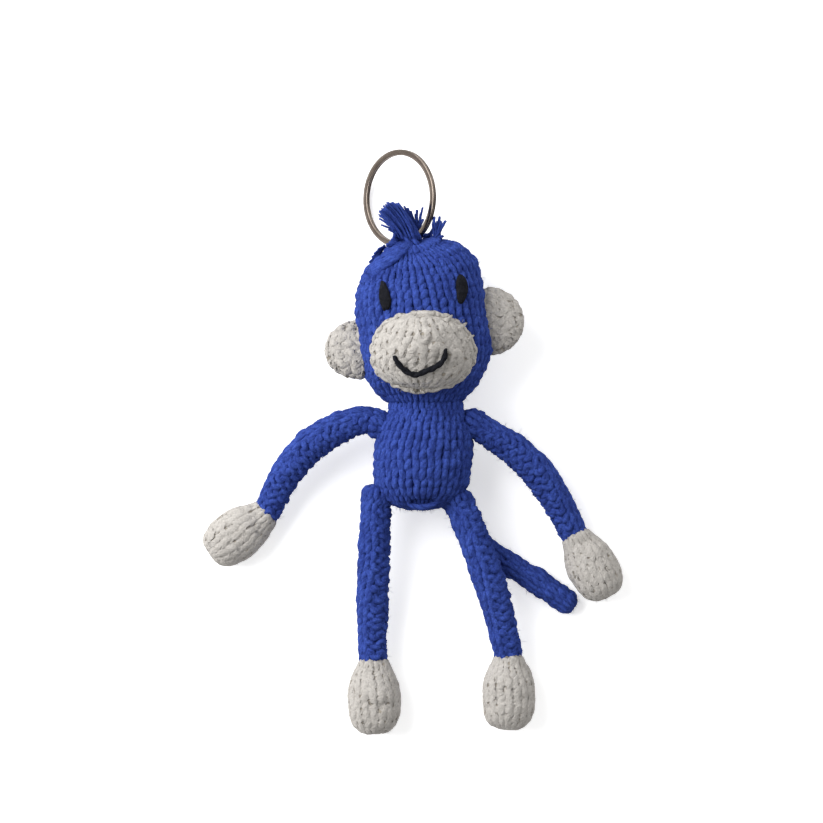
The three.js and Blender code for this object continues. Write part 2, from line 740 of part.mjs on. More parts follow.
const tailCurve = new THREE.CatmullRomCurve3([
  tailRoot,
  ...tailPath.map(([x, y]) => tailRoot.clone().add(new THREE.Vector3(x, y, 0))),
]);
const tailTube = limbSolid(tailCurve, () => tailHalfWidth, tailHalfDepth / tailHalfWidth);
const tailSolid = tailTube.subtract(belowTable);
const tailSeat = (grow) => seatBall(tailRoot, tailHalfWidth + seatGap + grow);

// Head and body, each a knitted cover round its stuffing

function coneSide(direction) {
  const reach = 2 * headHalfWidth;
  const rise = reach * Math.tan(neckOpening * degrees);
  const profile = [
    new THREE.Vector2(0, 0),
    new THREE.Vector2(reach, direction * rise),
    new THREE.Vector2(reach, -direction * reach),
    new THREE.Vector2(0, -direction * reach),
  ];
  const geometry = new THREE.LatheGeometry(direction > 0 ? profile.reverse() : profile, headSides);
  return toSolid(geometry.translate(neck.x, neck.y, neck.z));
}

const neckSeat = seatBall(neck, neckRadius + seatGap, bodySides);
const underHead = coneSide(1);
const overTorso = coneSide(-1);
const limbRooms = Object.values(made).map((limb) => limb.bodyRoom);
const limbWalls = Object.values(made).map((limb) => limb.bodyWall);
const stuffingWalls = Object.values(made).map((limb) => limb.stuffingWall);

const headHollow = formSolid(formWith(head, knitThickness, crownThickness), innerSides, innerSteps);
const headKnit = cut(
  formSolid(head, headSides, skinSteps),
  headHollow, neckSeat, underHead, loopSeat, ...wireSeats, belowTable,
);
const headStuffing = cut(
  formSolid(formWith(head, knitThickness + seatGap, crownThickness + seatGap), innerSides, innerSteps),
  neckSeat,
);

const torsoHollow = cut(
  formSolid(formWith(torso, knitThickness), innerSides, innerSteps),
  ...limbWalls, tailSeat(knitThickness),
);
const torsoKnit = cut(
  formSolid(torso, bodySides, skinSteps),
  torsoHollow, neckSeat, overTorso, ...limbRooms, tailSeat(0), belowTable,
);
const torsoStuffing = cut(
  formSolid(formWith(torso, knitThickness + seatGap), innerSides, innerSteps),
  neckSeat, ...stuffingWalls, tailSeat(knitThickness + seatGap),
);

// Scene graph: each group turns about the place where it is sewn or hung

const group = new THREE.Group();

function hungOn(parent, pivot) {
  const hung = new THREE.Group();
  const from = parent.userData.pivot ?? new THREE.Vector3();
  hung.position.copy(pivot).sub(from);
  hung.userData.pivot = pivot.clone();
  parent.add(hung);
  return hung;
}

function addPiece(parent, name, solid, material) {
  const pivot = parent.userData.pivot ?? new THREE.Vector3();
  const geometry = toGeometry(solid).translate(-pivot.x, -pivot.y, -pivot.z);
  geometry.computeVertexNormals();
  const mesh = new THREE.Mesh(geometry, material);
  mesh.name = name;
  parent.add(mesh);
}

addPiece(group, 'torso_knit', torsoKnit, cotton);
addPiece(group, 'torso_stuffing', torsoStuffing, fibre);

const neckGroup = hungOn(group, neck);
addPiece(neckGroup, 'neck_gather', ball(neck, neckRadius, bodySides), cotton);

const headGroup = hungOn(neckGroup, neck);
addPiece(headGroup, 'head_knit', headKnit, cotton);
addPiece(headGroup, 'head_stuffing', headStuffing, fibre);
addPiece(headGroup, 'muzzle_knit', muzzleKnit, cream);
addPiece(headGroup, 'muzzle_stuffing', muzzleStuffing, fibre);
addPiece(headGroup, 'mouth_yarn', mouthYarn, black);
for (const [name, size] of Object.entries(eyes)) addPiece(headGroup, name, eye(size), black);
for (const [name, size] of Object.entries(ears)) addPiece(headGroup, name, ear(size), cream);
addPiece(headGroup, 'hair_tuft', hairTuft, cotton);

const loopGroup = hungOn(headGroup, loopCentre);
addPiece(loopGroup, 'ring_loop', ringLoop, cotton);

const ringGroup = hungOn(loopGroup, ringCentre);
addPiece(ringGroup, 'split_ring', splitRing, steel);

for (const [name, limb] of Object.entries(made)) {
  const [side, kind] = name.split('_');
  const seamName = kind === 'arm' ? 'shoulder_seam' : 'hip_seam';
  const endName = kind === 'arm' ? 'hand' : 'foot';
  const seamGroup = hungOn(group, limb.seam);
  addPiece(seamGroup, `${side}_${seamName}`, limb.seamSolid, cotton);
  const tubeGroup = hungOn(seamGroup, limb.seam);
  addPiece(tubeGroup, name, limb.tubeSolid, cotton);
  const endGroup = hungOn(tubeGroup, limb.joint);
  addPiece(endGroup, `${side}_${endName}`, limb.endSolid, cream);
  addPiece(endGroup, `${side}_${endName}_stuffing`, limb.stuffingSolid, fibre);
}

const tailGroup = hungOn(group, tailRoot);
addPiece(tailGroup, 'tail', tailSolid, cotton);

export default group;
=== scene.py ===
# Knitted monkey on a split key ring: the look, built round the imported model.
#
# The toy lies on its back. +X is its left side, +Y is towards its head and +Z is up.
# Lengths are in millimetres until a mesh is made, and angles in degrees. Places that the
# photograph shows are its pixels, which photo_place and at_pixels turn into millimetres.

import json
import math

import bpy
import numpy as np
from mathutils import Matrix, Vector


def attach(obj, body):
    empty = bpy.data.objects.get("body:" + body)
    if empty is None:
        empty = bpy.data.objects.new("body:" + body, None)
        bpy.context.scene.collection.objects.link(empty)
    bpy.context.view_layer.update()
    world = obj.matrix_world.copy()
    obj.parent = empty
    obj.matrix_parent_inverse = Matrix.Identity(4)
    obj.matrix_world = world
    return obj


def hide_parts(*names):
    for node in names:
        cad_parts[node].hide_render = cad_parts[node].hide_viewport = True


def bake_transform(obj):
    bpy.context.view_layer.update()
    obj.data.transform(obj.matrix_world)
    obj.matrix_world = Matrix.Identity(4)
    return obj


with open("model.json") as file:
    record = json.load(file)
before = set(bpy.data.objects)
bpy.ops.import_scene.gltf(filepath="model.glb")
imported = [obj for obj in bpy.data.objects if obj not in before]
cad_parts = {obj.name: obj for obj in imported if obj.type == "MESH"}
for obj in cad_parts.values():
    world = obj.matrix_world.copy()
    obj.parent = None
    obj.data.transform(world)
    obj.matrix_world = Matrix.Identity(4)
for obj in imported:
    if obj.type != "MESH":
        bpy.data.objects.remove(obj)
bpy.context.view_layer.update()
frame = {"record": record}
random = np.random.default_rng(11)
MM = 0.001
DEG = math.pi / 180
UP = np.array([0.0, 0.0, 1.0])
ACROSS = np.array([1.0, 0.0, 0.0])
TO_HEAD = np.array([0.0, 1.0, 0.0])


def joint_place(name):
    rows = frame["record"]["behaviour"]["joints"]
    return np.array([row["pos_m"] for row in rows if row["name"] == name][0]) / MM


def add_object(name, data):
    made = bpy.data.objects.new(name, data)
    bpy.context.scene.collection.objects.link(made)
    return made


# Camera, straight down on the toy

pixel = 0.3061  # of the photograph, at the toy
photo_size = 823
view_x = -3.52
view_y = 14.54
silhouette_height = 12  # over the table, where a pixel has that size
camera_distance = 1500
sensor = 36
clip_start, clip_end = 0.1, 20  # metres

camera = add_object("camera", bpy.data.cameras.new("camera"))
camera.data.sensor_width = sensor
camera.data.lens = sensor * camera_distance / (pixel * photo_size)
camera.data.clip_start = clip_start
camera.data.clip_end = clip_end
camera.location = (view_x * MM, view_y * MM, (camera_distance + silhouette_height) * MM)
bpy.context.scene.camera = camera


def stacked(*values):
    """Coordinates, single or in arrays, put together into points."""
    return np.stack(np.broadcast_arrays(*values), axis=-1)


def photo_place(px, py, z):
    """Where pixels of the photograph lie at heights over the table."""
    scale = pixel * (camera_distance + silhouette_height - np.asarray(z)) / camera_distance
    x = view_x + (np.asarray(px) - photo_size / 2) * scale
    y = view_y - (np.asarray(py) - photo_size / 2) * scale
    return stacked(x, y, z)


# Sizes of the knitted forms, as in the part's source

seat_gap = 0.3
table_flat = 0.5
torso_half_depth = 13
neck = np.array([0.6, 16.4, torso_half_depth - table_flat + 0.8])
head_half_depth = 17.5
head_above_neck = 25.5
head_z = head_half_depth - table_flat
head_centre = np.array([0, neck[1] + head_above_neck, head_z])
head_slump = 0.8
head_slump_length = 52
head_slump_middle = -3


def smoothstep(x, low, high):
    t = np.clip((x - low) / (high - low), 0, 1)
    return t * t * (3 - 2 * t)


def swell(share, fullness):
    return np.maximum(0, 1 - np.abs(share) ** fullness) ** (1 / fullness)


def unit(v):
    return v / np.maximum(np.linalg.norm(v, axis=-1, keepdims=True), 1e-9)


torso_form = {
    "centre": np.array([0, 0, torso_half_depth - table_flat]),
    "half_width": 14.8, "half_depth": torso_half_depth,
    "reach_up": 20, "reach_down": 16.2,
    "full_up": 2.6, "full_down": 2.8, "depth_full_up": 2.6, "depth_full_down": 2.1,
    "sideways": lambda y: y * math.tan(3.5 * DEG),
    "sway": lambda y: 0,
}
head_form = {
    "centre": head_centre,
    "half_width": 20, "half_depth": head_half_depth,
    "reach_up": 25.3, "reach_down": 29,
    "full_up": 2.6, "full_down": 2.3, "depth_full_up": 2, "depth_full_down": 2.3,
    "sideways": lambda y: -head_slump * np.sin(2 * np.pi * (y - head_slump_middle) / head_slump_length),
    "sway": lambda y: (neck[2] - head_z) * smoothstep(-y, head_above_neck * 0.3, head_above_neck),
}


def section(form, y):
    """Middle, half width and half depth of a form at heights y above its widest place."""
    above = y > 0
    reach = np.where(above, form["reach_up"], form["reach_down"])
    wide = np.where(above, form["full_up"], form["full_down"])
    deep = np.where(above, form["depth_full_up"], form["depth_full_down"])
    offset = stacked(form["sideways"](y), y, form["sway"](y))
    half_width = form["half_width"] * swell(y / reach, wide)
    half_depth = form["half_depth"] * swell(y / reach, deep)
    return form["centre"] + offset, half_width, half_depth


def oval(middle, half_width, half_depth, turn):
    """Points of a level slice through an upright form."""
    return middle + stacked(half_width * np.cos(turn), half_depth * np.sin(turn)) @ np.array([ACROSS, UP])


def form_point(form, y, turn):
    middle, half_width, half_depth = section(form, y)
    return oval(middle, half_width, half_depth, turn)


def onto_form(form, points):
    """Moves points straight from or to the form's centre until they lie on its skin."""
    low = np.zeros(points.shape[:-1])
    high = np.full(points.shape[:-1], 4.0)
    offset = points - form["centre"]
    for _ in range(36):
        scale = (low + high) / 2
        at = offset * scale[..., None]
        middle, half_width, half_depth = section(form, at[..., 1])
        across = (at[..., 0] + form["centre"][0] - middle[..., 0]) / np.maximum(half_width, 1e-6)
        through = (at[..., 2] + form["centre"][2] - middle[..., 2]) / np.maximum(half_depth, 1e-6)
        reach = np.where(at[..., 1] > 0, form["reach_up"], form["reach_down"])
        inside = (across ** 2 + through ** 2 < 1) & (np.abs(at[..., 1]) < reach)
        low = np.where(inside, scale, low)
        high = np.where(inside, high, scale)
    return form["centre"] + offset * low[..., None]


# Places over the front of the head


def front_height(x, y):
    middle, half_width, half_depth = section(head_form, y)
    across = (head_centre[0] + x - middle[..., 0]) / np.maximum(half_width, 1e-6)
    return middle[..., 2] + half_depth * np.sqrt(np.maximum(0, 1 - across * across))


def on_head(x, y, height):
    """Points at heights over the head, square to its skin, and the way out of it."""
    step = 0.05
    slope_x = (front_height(x + step, y) - front_height(x - step, y)) / (2 * step)
    slope_y = (front_height(x, y + step) - front_height(x, y - step)) / (2 * step)
    normal = unit(stacked(-slope_x, -slope_y, 1))
    foot = stacked(head_centre[0] + x, head_centre[1] + y, front_height(x, y))
    return foot + normal * np.asarray(height)[..., None], normal


def at_pixels(px, py, height):
    """Points at heights over the head that the photograph shows at these pixels."""
    px, py, height = np.broadcast_arrays(np.asarray(px, float), py, height)
    start = photo_place(px, py, head_z + head_half_depth) - head_centre
    x, y = start[..., 0], start[..., 1]
    for _ in range(24):
        y = np.clip(y, -0.8 * head_form["reach_down"], 0.985 * head_form["reach_up"])
        middle, half_width, _ = section(head_form, y)
        sideways = middle[..., 0] - head_centre[0]
        x = sideways + np.clip(x - sideways, -0.97 * half_width, 0.97 * half_width)
        points, normals = on_head(x, y, height)
        error = photo_place(px, py, points[..., 2]) - points
        x = x + 0.6 * error[..., 0]
        y = y + 0.6 * error[..., 1]
    return points, normals


# Skins: the outer surface of a knitted cover, as a grid that is even both ways


def whole_turn(count):
    return np.linspace(0, 2 * np.pi, count, endpoint=False)


SKIN_COLUMNS = 96
SKIN_STEP = 0.5
ALL_ROUND = whole_turn(SKIN_COLUMNS)
FROM_BACK = ALL_ROUND - np.pi / 2


def gone_by(steps):
    """How far a row of points has come at each point, from the steps between them."""
    return np.concatenate([[0], np.cumsum(steps)])


def evenly(points, count, closed=False):
    """Points at even steps along a row of points."""
    points = np.vstack([points, points[:1]]) if closed else points
    gone = gone_by(np.linalg.norm(np.diff(points, axis=0), axis=1))
    want = np.linspace(0, gone[-1], count, endpoint=not closed)
    return np.stack([np.interp(want, gone, column) for column in points.T], axis=1)


def even_grid(rings, closed):
    """Spreads rings of points evenly round each ring, and evenly from ring to ring."""
    spread = np.array([evenly(ring, SKIN_COLUMNS, closed) for ring in rings])
    gone = gone_by(np.linalg.norm(np.diff(spread, axis=0), axis=2).mean(axis=1))
    levels = max(4, int(round(gone[-1] / SKIN_STEP)) + 1)
    want = np.linspace(0, gone[-1], levels)
    lower = np.clip(np.searchsorted(gone, want, side="right") - 1, 0, len(gone) - 2)
    share = ((want - gone[lower]) / (gone[lower + 1] - gone[lower]))[:, None, None]
    return spread[lower] * (1 - share) + spread[lower + 1] * share, gone[-1]


def make_skin(rings, closed=True, behind=None):
    """behind is a point that the outer side of an open skin faces away from."""
    grid, length = even_grid(np.asarray(rings, float), closed)
    along = np.gradient(grid, axis=0)
    if closed:
        around = np.roll(grid, -1, axis=1) - np.roll(grid, 1, axis=1)
        from_middle = grid - grid.mean(axis=1, keepdims=True)
        loop = np.concatenate([grid, grid[:, :1]], axis=1)
    else:
        around = np.gradient(grid, axis=1)
        from_middle = grid - behind
        loop = grid
    normals = unit(np.cross(along, around))
    if (normals * from_middle).sum() < 0:
        normals = -normals
    girth = np.linalg.norm(np.diff(loop, axis=1), axis=2).sum(axis=1)
    return {"points": grid, "normals": normals, "length": length, "closed": closed, "girth": girth}


def on_skin(skin, u, v):
    """Points and normals at shares u round the skin and lengths v along it."""
    levels, columns = skin["points"].shape[:2]
    row = np.clip(v / skin["length"], 0, 1) * (levels - 1)
    low = np.minimum(row.astype(int), levels - 2)
    up = (row - low)[..., None]
    if skin["closed"]:
        column = np.mod(u, 1) * columns
        left = np.minimum(column.astype(int), columns - 1)
        right = (left + 1) % columns
    else:
        column = np.clip(u, 0, 1) * (columns - 1)
        left = np.minimum(column.astype(int), columns - 2)
        right = left + 1
    across = (column - left)[..., None]
    found = []
    for field in (skin["points"], skin["normals"]):
        lower = field[low, left] * (1 - across) + field[low, right] * across
        upper = field[low + 1, left] * (1 - across) + field[low + 1, right] * across
        found.append(lower * (1 - up) + upper * up)
    return found[0], unit(found[1])


def girth_at(skin, v):
    levels = len(skin["girth"])
    return np.interp(v / skin["length"] * (levels - 1), np.arange(levels), skin["girth"])


# Places that the yarn keeps clear of: round tubes, each a centre, an axis and two radii

keep_clear = []
clear_rounds = 3  # because what is pushed out of one tube can land in another
table_room = 1.1  # of a tube's radius


def clear_of_rings(points, radius):
    for centre, axis, ring_radius, tube_radius in clear_rounds * keep_clear:
        offset = points - centre
        flat = offset - (offset @ axis)[..., None] * axis
        away = offset - unit(flat) * ring_radius
        distance = np.linalg.norm(away, axis=-1)
        need = np.maximum(0, tube_radius + radius - distance)
        points = points + unit(away) * need[..., None]
    return points


def above_table(points, radius):
    lifted = points.copy()
    lifted[..., 2] = np.maximum(lifted[..., 2], radius * table_room)
    return lifted


# Pieces made of tubes and of closed forms

yarn_lumps = 0.04  # of a yarn's radius
# Each tube has its own strip of the bake's square. Shares of the strip's height:
SKIN_LOW, SKIN_HIGH = 0.05, 0.92
CAP_MIDDLE = 0.98  # of the tube's flat ends
CAP_SIZE = 0.0005


def signed_volume(grid):
    middle = grid.mean(axis=(0, 1))
    a = grid[:-1] - middle
    b = grid[1:] - middle
    return (a * np.cross(b, np.roll(b, -1, axis=1))).sum()


class Piece:
    """Collects tubes and closed forms, all made of rings of points, for one mesh."""

    def __init__(self):
        self.points = []
        self.faces = []
        self.yarn_uv = []
        self.bake_uv = []
        self.strips = 0
        self.count = 0

    def add(self, faces, yarn, bake):
        """Faces, with the yarn's and the bake's coordinates of their corners."""
        self.faces.append(faces)
        self.yarn_uv.append(yarn.reshape(-1, 2))
        self.bake_uv.append(bake.reshape(-1, 2))

    def rings(self, points, paths, closed=False, one_strip=False):
        """Skins over rings of points along paths, with flat ends where a path is open."""
        rows, steps, sides = points.shape[:3]
        row = np.arange(rows)[:, None, None]
        here = np.arange(steps if closed else steps - 1)[None, :, None]
        side = np.arange(sides)[None, None]
        corners = [(here, side), (here + 1, side), (here + 1, side + 1), (here, side + 1)]
        first = self.count + row * steps * sides
        quads = [first + (at % steps) * sides + place % sides for at, place in corners]
        gap = np.linalg.norm(np.diff(np.concatenate([paths, paths[:, :1]], axis=1), axis=1), axis=2)
        gone = np.concatenate([np.zeros((rows, 1)), np.cumsum(gap, axis=1)], axis=1)
        strip = self.strips + (0 * row if one_strip else row)

        def bake_place(at, level):
            along = at / here.size
            return stacked((row + along) / rows if one_strip else along, strip + level)

        level = SKIN_LOW + (SKIN_HIGH - SKIN_LOW) * np.arange(sides + 1) / sides
        yarn = [stacked(gone[:, at[0, :, 0], None], place / sides) for at, place in corners]
        bake = [bake_place(at, level[place]) for at, place in corners]
        self.add(np.stack(quads, axis=-1).reshape(-1, 4), np.stack(yarn, axis=-2), np.stack(bake, axis=-2))
        if not closed:
            turn = 2 * np.pi * np.arange(sides) / sides
            small = CAP_SIZE * stacked(np.cos(turn), 10 * np.sin(turn))
            for at, order in ((0, 1), (steps - 1, -1)):
                cap = (first[:, 0] + at * sides + np.arange(sides))[:, ::order]
                place = bake_place(min(at, here.size - 0.5), CAP_MIDDLE)[:, 0] + small
                self.add(cap, np.zeros((rows, sides, 2)) + [0, 0.5], place)
        self.strips += 1 if one_strip else rows
        self.points.append(points.reshape(-1, 3))
        self.count += points.size // 3

    def tubes(self, paths, guides, radii, sides=7, closed=False, flatten=1.0, rough=yarn_lumps,
              one_strip=False):
        """Tubes along rows of points, or along one. guides point out of what they lie on."""
        if paths.ndim == 2:
            paths, guides = paths[None], guides[None]
        rows, steps = paths.shape[:2]
        if closed:
            tangent = unit(np.roll(paths, -1, axis=1) - np.roll(paths, 1, axis=1))
        else:
            tangent = unit(np.gradient(paths, axis=1))
        side = np.cross(tangent, guides)
        unsure = np.linalg.norm(side, axis=-1) < 0.001  # where a tube runs along its guide
        side[unsure] = np.cross(tangent[unsure], ACROSS)
        side = unit(side)
        over = np.cross(side, tangent)
        turn = (2 * np.pi * np.arange(sides) / sides)[:, None]
        ring = np.cos(turn) * side[:, :, None] + flatten * np.sin(turn) * over[:, :, None]
        lumps = 1 + rough * random.standard_normal((rows, steps, sides, 1))
        reach = np.broadcast_to(radii, (rows, steps))[..., None, None] * lumps
        self.rings(paths[:, :, None] + reach * ring, paths, closed, one_strip)

    def build(self, name, material, body, slot, replaces=(), padded=None):
        mesh = bpy.data.meshes.new(name)
        points = np.concatenate(self.points) * MM
        corners = np.concatenate([face.ravel() for face in self.faces])
        totals = np.concatenate([np.full(len(face), face.shape[1]) for face in self.faces])
        starts = np.concatenate([[0], np.cumsum(totals)[:-1]])
        mesh.vertices.add(len(points))
        mesh.vertices.foreach_set("co", points.ravel())
        mesh.loops.add(len(corners))
        mesh.loops.foreach_set("vertex_index", corners.astype(np.int32))
        mesh.polygons.add(len(totals))
        mesh.polygons.foreach_set("loop_start", starts.astype(np.int32))
        mesh.update(calc_edges=True)
        bake = np.concatenate(self.bake_uv)
        bake[:, 1] /= self.strips
        for layer_name, uv in (("OFBake", bake), ("yarn", np.concatenate(self.yarn_uv))):
            layer = mesh.uv_layers.new(name=layer_name)
            layer.data.foreach_set("uv", uv.ravel())
        mesh.shade_smooth()
        mesh.materials.append(material)
        mesh.validate()
        piece = add_object(name, mesh)
        if body is not None:
            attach(piece, body)
        if replaces:
            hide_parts(*replaces)
        return piece


def closed_form(name, grid, *look):
    """One piece from rings of points, with a flat face at each end."""
    grid = grid[::-1] if signed_volume(grid) < 0 else grid
    piece = Piece()
    piece.rings(grid[None], grid.mean(axis=1)[None])
    piece.build(name, *look)


# Knitting

yarn_radius = 1.3
row_height = 2.9
knit_depth = 1.4  # of the yarn's middle under the outer surface
knit_relief = 0.75  # how far the yarn swings in and out of the fabric
loop_reach = 0.8  # of a row's height, each way
loop_lean = 0.14  # of a stitch's width
yarn_press = 0.98  # at 1 a stitch's two legs fill its width, and below 1 they press together
thinnest_yarn = 0.42  # of the yarn's radius, where a skin narrows
steps_per_stitch = 16
# How far stitches differ: in shares, in height, and in place along the row, as parts of a
# stitch, each by itself and in slow waves
lean_varies, reach_varies, relief_varies, radius_varies = 0.15, 0.1, 0.2, 0.05
height_varies = 0.12
place_varies = 0.05
place_waves, wave_length = 0.25, 9
skin_edge = 0.05
# The cream parts, whose thick soft yarn makes an almost smooth surface
smooth_knit = {
    "radius": 1.8, "flatten": 0.6, "depth": 1.0, "relief": 0.12, "press": 0.66, "height": 2.7,
    "lean": 0.06, "hairs": 0.6,
}

hair_length = 1.5
shortest_hair = 0.35  # of that length
hair_radius = 0.045
hair_root = 0.85  # of the yarn's radius
hair_lean = 0.8
hair_bend = 0.45

lining_step = 1.5
lining_columns = 40
lining_room = 0.1  # beside the ring
lining_lift = 0.15  # over the table


def between(values, share):
    """Values per stitch, led smoothly from each stitch to the next."""
    following = np.roll(values, -1, axis=1)
    ease = share * share * (3 - 2 * share)
    return values[..., None] * (1 - ease) + following[..., None] * ease


def fuzz(piece, points, normals, radii, count):
    """Loose fibres that stand off the yarn."""
    radii = np.broadcast_to(radii, points.shape[:2])
    row = random.integers(0, len(points), count)
    step = random.integers(0, points.shape[1], count)
    aim = unit(normals[row, step] + hair_lean * unit(random.standard_normal((count, 3))))
    bend = unit(random.standard_normal((count, 3)))
    root = points[row, step] + hair_root * radii[row, step, None] * aim
    reach = hair_length * random.uniform(shortest_hair, 1, (count, 1, 1))
    t = np.linspace(0, 1, 4)[None, :, None]
    paths = root[:, None] + reach * (t * aim[:, None] + hair_bend * t * t * bend[:, None])
    guides = np.broadcast_to(np.cross(aim, bend)[:, None], paths.shape)
    piece.tubes(above_table(paths, hair_radius), guides, hair_radius, sides=3, rough=0, one_strip=True)


def knit(piece, skin, stitches, start=0.0, end=None, purl=None, loose=1.0, radius=yarn_radius,
         height=row_height, depth=knit_depth, relief=knit_relief, press=yarn_press, flatten=1.0,
         v_up=-1, lean=loop_lean, shape=None, hairs=2.0):
    """Rows of knitting round or across a skin, from one length along it to another.

    v_up is the way that the stitches point along the skin. shape gives how far the
    fabric rises at points of the skin, and lengths along it. hairs is a count per stitch.
    """
    end = skin["length"] if end is None else end
    rows = max(2, int(round((end - start) / height)))
    height = (end - start) / rows
    share = np.arange(steps_per_stitch) / steps_per_stitch
    t = 2 * np.pi * share
    middle = start + (np.arange(rows) + 0.5) * height
    width = girth_at(skin, middle) / stitches
    fit = np.clip(width / (4 * radius * press), thinnest_yarn, 1)[:, None, None]

    def vary(amount):
        return between(1 + loose * amount * random.standard_normal((rows, stitches)).clip(-2, 2), share)

    sign = np.ones((rows, stitches)) if purl is None else np.where(purl(rows, stitches), -1.0, 1.0)
    k = np.arange(stitches)[None, :, None]
    wander = between(loose * place_varies * random.standard_normal((rows, stitches)), share)
    drift = place_waves * loose * np.sin(middle / wave_length)[:, None, None]
    u = (k + share + lean * vary(lean_varies) * np.sin(2 * t) + wander + drift) / stitches
    v = middle[:, None, None] + v_up * loop_reach * height * np.cos(t) * vary(reach_varies)
    lift = -relief * fit * np.cos(2 * t) * sign[..., None] * vary(relief_varies)
    lift = lift + height_varies * loose * (vary(1.0) - 1)
    radii = radius * fit * vary(radius_varies)
    points, normals = on_skin(skin, u, np.clip(v, skin_edge, skin["length"] - skin_edge))
    if shape is not None:
        lift = lift + shape(points, v)
    points = points + normals * (lift - depth)[..., None]
    points = points.reshape(rows, -1, 3)
    normals = normals.reshape(rows, -1, 3)
    radii = radii.reshape(rows, -1)
    points = above_table(clear_of_rings(points, radii), radii * flatten)
    piece.tubes(points, normals, radii, closed=skin["closed"], flatten=flatten)
    fuzz(piece, points, normals, radii * flatten, int(hairs * rows * stitches))


def lining(skin, name, material, body, slot, start=0.0, shape=None):
    """A closed form under the yarn, which keeps light from passing between the stitches."""
    # The lining's dark colour is painted shade, seen between the stitches.
    levels = max(6, int(skin["length"] / lining_step))
    v = np.linspace(start, skin["length"], levels)[:, None]
    u, v = np.broadcast_arrays(np.linspace(0, 1, lining_columns, endpoint=False)[None], v)
    points, normals = on_skin(skin, u, v)
    rise = 0 if shape is None else shape(points, v)
    points = points + normals * (rise - knit_depth + 0 * v)[..., None]
    points = above_table(clear_of_rings(points, lining_room), lining_lift)
    closed_form(name, points, material, body, slot)


def cover(name, body, skin, colour, nodes, padded=None, extra=None, lining_start=0.0, **knitting):
    """A knitted cover with its lining. extra adds more yarn to it."""
    material, inside, slot = colour
    piece = Piece()
    knit(piece, skin, **knitting)
    if extra is not None:
        extra(piece)
    piece.build(name, material, body, slot, nodes, padded)
    lining(skin, name + "_lining", inside, body, slot, lining_start, knitting.get("shape"))


# Materials


def linear(red, green, blue):
    """Linear light from the 0 to 255 values of a screen colour."""
    values = [c / 255 for c in (red, green, blue)]
    return tuple(c / 12.92 if c <= 0.04045 else ((c + 0.055) / 1.055) ** 2.4 for c in values) + (1,)


def dimmed(colour, share):
    return tuple(c * share for c in colour[:3]) + (1,)


class Shader:
    """A material with its nodes, and short calls that add to them."""

    def __init__(self, name, tree=None):
        if tree is None:
            self.material = bpy.data.materials.new(name)
            self.material.use_nodes = True
            tree = self.material.node_tree
        self.nodes = tree.nodes
        self.links = tree.links
        self.main = self.nodes.get("Principled BSDF")

    def set(self, socket, value):
        if isinstance(value, bpy.types.NodeSocket):
            self.links.new(value, socket)
        else:
            socket.default_value = value

    def node(self, kind, *inputs, **settings):
        made = self.nodes.new(kind)
        for key, value in settings.items():
            setattr(made, key, value)
        for socket, value in zip(made.inputs, inputs):
            if value is not None:
                self.set(socket, value)
        return made

    def math(self, operation, *inputs):
        return self.node("ShaderNodeMath", *inputs, operation=operation).outputs[0]

    def mix(self, factor, first, second, blend="MIX"):
        made = self.node("ShaderNodeMix", data_type="RGBA", blend_type=blend)
        for at, value in ((0, factor), (6, first), (7, second)):
            self.set(made.inputs[at], value)
        return made.outputs[2]

    def noise(self, place, scale, detail=3.0):
        made = self.node("ShaderNodeTexNoise")
        for name, value in (("Vector", place), ("Scale", scale), ("Detail", detail)):
            self.set(made.inputs[name], value)
        return made.outputs[0]

    def ramp(self, value, low, first, high, second):
        made = self.node("ShaderNodeValToRGB", value)
        for element, position, colour in zip(made.color_ramp.elements, (low, high), (first, second)):
            element.position = position
            element.color = colour
        return made.outputs[0]

    def finish(self, **values):
        for name, value in values.items():
            self.set(self.main.inputs[name.replace("_", " ")], value)
        return self.material


BLACK = (0, 0, 0, 1)
WHITE = (1, 1, 1, 1)


def grey(value):
    return (value, value, value, 1)


